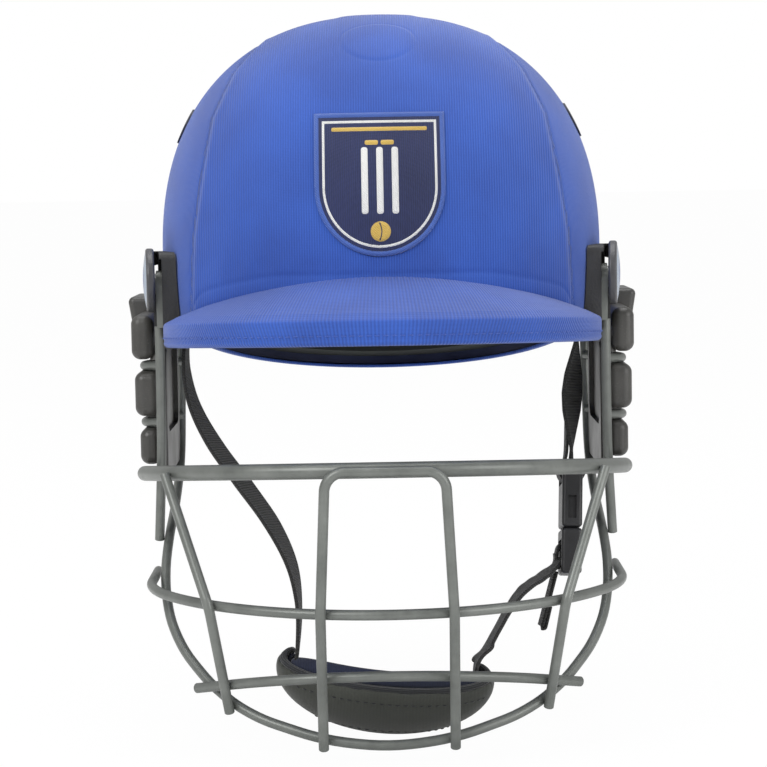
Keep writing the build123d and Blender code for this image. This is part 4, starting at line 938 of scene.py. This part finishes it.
def webbing_band(name, centres, acrosses, width=STRAP_WIDTH, thickness=STRAP_THICKNESS, body="chin_strap",
                 node_names=()):
    """A flat strap with rounded edges through centres, as wide along each across."""
    path = [Vector(p) for p in centres]
    widths = [Vector(a) for a in acrosses]
    dense, dense_across = [], []
    for index in range(len(path) - 1):
        p0, p1 = path[max(index - 1, 0)], path[index]
        p2, p3 = path[index + 1], path[min(index + 2, len(path) - 1)]
        for step in range(BAND_STEPS):
            t = step / BAND_STEPS
            dense.append(0.5 * ((2 * p1) + (p2 - p0) * t + (2 * p0 - 5 * p1 + 4 * p2 - p3) * t ** 2
                                + (3 * p1 - p0 - 3 * p2 + p3) * t ** 3))
            dense_across.append(widths[index].lerp(widths[index + 1], t))
    dense.append(path[-1])
    dense_across.append(widths[-1])
    half, thick = width / 2, thickness / 2
    side = [(half, 0), (half - 0.25, thick * 0.8), (half - 0.9, thick), (half - 1.8, thick * 0.86),
            (half / 2, thick * 0.95)]
    ring = [(-x, y) for x, y in side] + [(0, thick)] + side[::-1]
    ring += [(x, -y) for x, y in ring[-2:0:-1]]
    verts, uvs, run = [], [], 0.0
    for index, centre in enumerate(dense):
        before, after = dense[max(index - 1, 0)], dense[min(index + 1, len(dense) - 1)]
        along = (after - before).normalized()
        across = dense_across[index]
        across = (across - along * across.dot(along)).normalized()
        face = along.cross(across)
        if index:
            run += (centre - dense[index - 1]).length
        for x, y in ring:
            verts.append(centre + across * x + face * y)
            uvs.append((x * MM, run * MM))
    faces = grid_faces(len(dense), len(ring), closed=True) + end_faces(len(dense), len(ring))
    obj = new_object(name, verts, faces, webbing, uvs)
    fix_normals(obj)
    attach(obj, body)
    if node_names:
        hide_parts(*node_names)


def bowed(start, end, bow, swing=(0, 0, 0)):
    """Points from start to end, pushed aside by bow at half way and by swing to either side of it."""
    points = []
    for step in range(BOW_STEPS + 1):
        share = step / BOW_STEPS
        aside = Vector(bow) * sin(pi * share) ** 2 + Vector(swing) * sin(2 * pi * share)
        points.append(Vector(start).lerp(Vector(end), share) + aside)
    return points


def turned_across(middle_deg):
    """The strap's direction across itself along a bowed run, turned most at half way."""
    turns = [radians(middle_deg * sin(pi * step / BOW_STEPS) ** 2) for step in range(BOW_STEPS + 1)]
    return [Vector((sin(turn), cos(turn), 0)) for turn in turns]


def from_rivet(side, end, bow, swing=(0, 0, 0)):
    """A strap's middle line from its end above the rivet down to end."""
    x = side * strap_x
    return [Vector((x, RIVET_Y, RIVET_Z + ABOVE_RIVET)), Vector((x, RIVET_Y, RIVET_Z))] + bowed(
        (x, RIVET_Y, RIVET_Z - BELOW_RIVET), end, bow, swing)


RIVET_Y, RIVET_Z, RIVET_HEAD, RIVET_GAP, ABOVE_RIVET, BELOW_RIVET = -30.0, -107.0, 1.6, 0.06, 6.5, 7.5
SEAT_X, SEAT_Z, SEAT_END = 38.5, 8.4, (38.9, 0.3, -3.0)
strap_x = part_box("left_strap_rivet")[0][0] / MM + RIVET_HEAD + RIVET_GAP + STRAP_THICKNESS / 2
right_route = from_rivet(-1, cup_point(-SEAT_X, 0, SEAT_Z), (1.0, 0, 0), (-9.0, 0, 0))
right_route.append(cup_point(-SEAT_END[0], *SEAT_END[1:]))
webbing_band("right_webbing", right_route, [FORE_AFT] * 2 + turned_across(24) + [FORE_AFT],
             node_names=("right_strap",))

buckle_matrix = placed((82.9, -35.5, -180.0), -12.6, 2.3)


def buckle_point(x, y, z):
    return buckle_matrix @ Vector((x, y, z))


buckle_across = (buckle_matrix.to_3x3() @ FORE_AFT).normalized()
webbing_band("left_webbing", from_rivet(1, buckle_point(0, 0, 1.4), (-1.0, 0, 0)),
             [FORE_AFT] * 2 + turned_across(40), node_names=("left_strap",))
# The loop of the left webbing round the socket's top bar
loop = [buckle_point(x, 0, z) for x, z in (
    (0, 1.6), (2.4, 0.4), (4.9, -1.2), (5.3, -3.0), (3.4, -5.9), (0.2, -6.1), (-3.2, -5.9), (-5.3, -3.0),
    (-4.9, 0.2), (-2.9, 3.6), (-2.2, 9.0), (-2.1, 22.0))]
webbing_band("left_webbing_loop", loop, [buckle_across] * len(loop), LOOP_WIDTH, LOOP_THICKNESS)

# The insert's ladder: its top below the buckle's middle, then rim, window, bar, window, bar
INSERT_TOP, INSERT_RIM, INSERT_WINDOW, INSERT_BAR = 27.3, 5.0, 4.6, 3.0
first_bar = INSERT_TOP + INSERT_RIM + INSERT_WINDOW + INSERT_BAR / 2
insert_end = INSERT_TOP + INSERT_RIM + 2 * (INSERT_WINDOW + INSERT_BAR)
BUCKLE_THICKNESS, INSERT_FACE_GAP, LEAD_LENGTH = 9.0, 1.1, 4.0
face_x = -BUCKLE_THICKNESS / 2 - INSERT_FACE_GAP - STRAP_THICKNESS / 2
lower_route = [buckle_point(face_x, 0, -first_bar)] + bowed(
    buckle_point(face_x, 0, -first_bar - LEAD_LENGTH), cup_point(SEAT_X, 0, SEAT_Z), (0, 0, 6.0))
lower_route.append(cup_point(*SEAT_END))
webbing_band("lower_webbing", lower_route, [FORE_AFT] * len(lower_route), node_names=("lower_strap",))
# The loop of the lower webbing round the insert's first bar
lower_loop = [buckle_point(x, 0, z - INSERT_TOP - INSERT_RIM) for x, z in (
    (-6.2, -8.5), (-5.3, -3.0), (-2.6, -1.3), (1.0, -1.6), (4.4, -3.4), (5.6, -6.0), (4.4, -8.8), (0.8, -9.8),
    (-2.4, -10.4), (-5.2, -12.2))]
webbing_band("lower_webbing_loop", lower_loop, [buckle_across] * len(lower_loop), LOOP_WIDTH, LOOP_THICKNESS,
             body="buckle_insert")
TAIL_LENGTH, TAIL_STEPS = 25.0, 6
lean = radians(16.0)
tail_start = buckle_point(face_x, 0, -insert_end + INSERT_BAR / 2)
tail_run = Vector((-sin(lean), -sin(lean) / 2, -cos(lean))).normalized()
tail = [tail_start + tail_run * TAIL_LENGTH * step / TAIL_STEPS for step in range(TAIL_STEPS + 1)]
webbing_band("webbing_tail", tail, [FORE_AFT] * len(tail), body="buckle_insert", node_names=("strap_tail",))
tail_fold = [tail[-1] + tail_run * run + Vector((x, 0, 0)) for run, x in (
    (-9.0, 1.5), (-1.0, 1.6), (0.2, 0.8), (0.1, 0.0))]
webbing_band("webbing_tail_fold", tail_fold, [FORE_AFT] * len(tail_fold), FOLD_WIDTH, LOOP_THICKNESS,
             body="buckle_insert")

# Smooth shading of the moulded pieces
moulded = ["buckle_socket", "buckle_insert"]
for name in ("ear_guard", "mount_block", "cap"):
    moulded += side_names(name)
for full_name in moulded:
    shade_smooth(NODES[full_name].data)

# Stage, light and camera
FLOOR_REACH, FLOOR_GLOW = 40, 0.97
floor_z = min(cad_bounds[0][2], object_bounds()[0][2]) - 0.0005
floor_mesh = bpy.data.meshes.new("floor")
floor_mesh.from_pydata([(x * FLOOR_REACH, y * FLOOR_REACH, floor_z) for x, y in (
    (-1, -1), (1, -1), (1, 1), (-1, 1))], [], [(0, 1, 2, 3)])
floor = linked("floor", floor_mesh)
floor_material, tree, shader = new_material("pale_floor")
floor_noise = noise_at(tree, node(tree, "TexCoord").outputs["Object"], 3.0, 2.0)
link(tree, mixed(tree, floor_noise, (0.86, 0.86, 0.86), (0.9, 0.9, 0.9)), shader.inputs["Base Color"])
shader.inputs["Roughness"].default_value = 0.9
glow = node(tree, "Emission", {"Color": WHITE, "Strength": 1.0})
seen_by = node(tree, "LightPath")
share_of_glow = maths(tree, "MULTIPLY", seen_by.outputs["Is Camera Ray"], FLOOR_GLOW)
blended = node(tree, "MixShader")
output = next(n for n in tree.nodes if n.type == "OUTPUT_MATERIAL")
link(tree, share_of_glow, blended.inputs[0])
link(tree, shader.outputs["BSDF"], blended.inputs[1])
link(tree, glow.outputs["Emission"], blended.inputs[2])
link(tree, blended.outputs[0], output.inputs["Surface"])
floor.data.materials.append(floor_material)

# The world lights the part softly and shows plain white behind it
world = bpy.data.worlds.new("world")
scene.world = world
world.use_nodes = True
tree = world.node_tree
tree.nodes.clear()
world_out = node(tree, "OutputWorld")
lighting = node(tree, "Background", {"Color": WHITE, "Strength": 0.55})
seen = node(tree, "Background", {"Color": WHITE, "Strength": 1.0})
seen_by = node(tree, "LightPath")
chooser = node(tree, "MixShader")
link(tree, seen_by.outputs["Is Camera Ray"], chooser.inputs[0])
link(tree, lighting.outputs[0], chooser.inputs[1])
link(tree, seen.outputs[0], chooser.inputs[2])
link(tree, chooser.outputs[0], world_out.inputs["Surface"])


def area_light(name, place, target, size, power):
    data = bpy.data.lights.new(name, "AREA")
    data.shape = "RECTANGLE"
    data.size = data.size_y = size
    data.energy = power
    lamp = linked(name, data)
    lamp.location = place
    lamp.rotation_euler = (Vector(target) - Vector(place)).to_track_quat("-Z", "Y").to_euler()


area_light("key", (-1.0, -1.3, 0.9), (0, 0, -0.12), 1.0, 20)
area_light("fill", (1.25, -1.1, 0.35), (0, 0, -0.15), 1.0, 11)
area_light("top", (0, 0.1, 1.4), (0, 0, -0.1), 1.2, 14)

CAMERA_REACH, CAMERA_AIM_Z, CAMERA_ELEVATION, CAMERA_ROLL = 1.056, -0.1438, radians(5.0), radians(-1.0)
camera_data = bpy.data.cameras.new("camera")
camera_data.sensor_width = 36.0
camera_data.lens = 107.7
camera_data.clip_start = 0.05
camera = linked("camera", camera_data)
camera.matrix_world = (
    Matrix.Translation((0, -CAMERA_REACH * cos(CAMERA_ELEVATION),
                        CAMERA_AIM_Z + CAMERA_REACH * sin(CAMERA_ELEVATION)))
    @ Matrix.Rotation(pi / 2 - CAMERA_ELEVATION, 4, "X") @ Matrix.Rotation(CAMERA_ROLL, 4, "Z"))
scene.camera = camera
scene.view_settings.view_transform = "Standard"
scene.view_settings.look = "None"
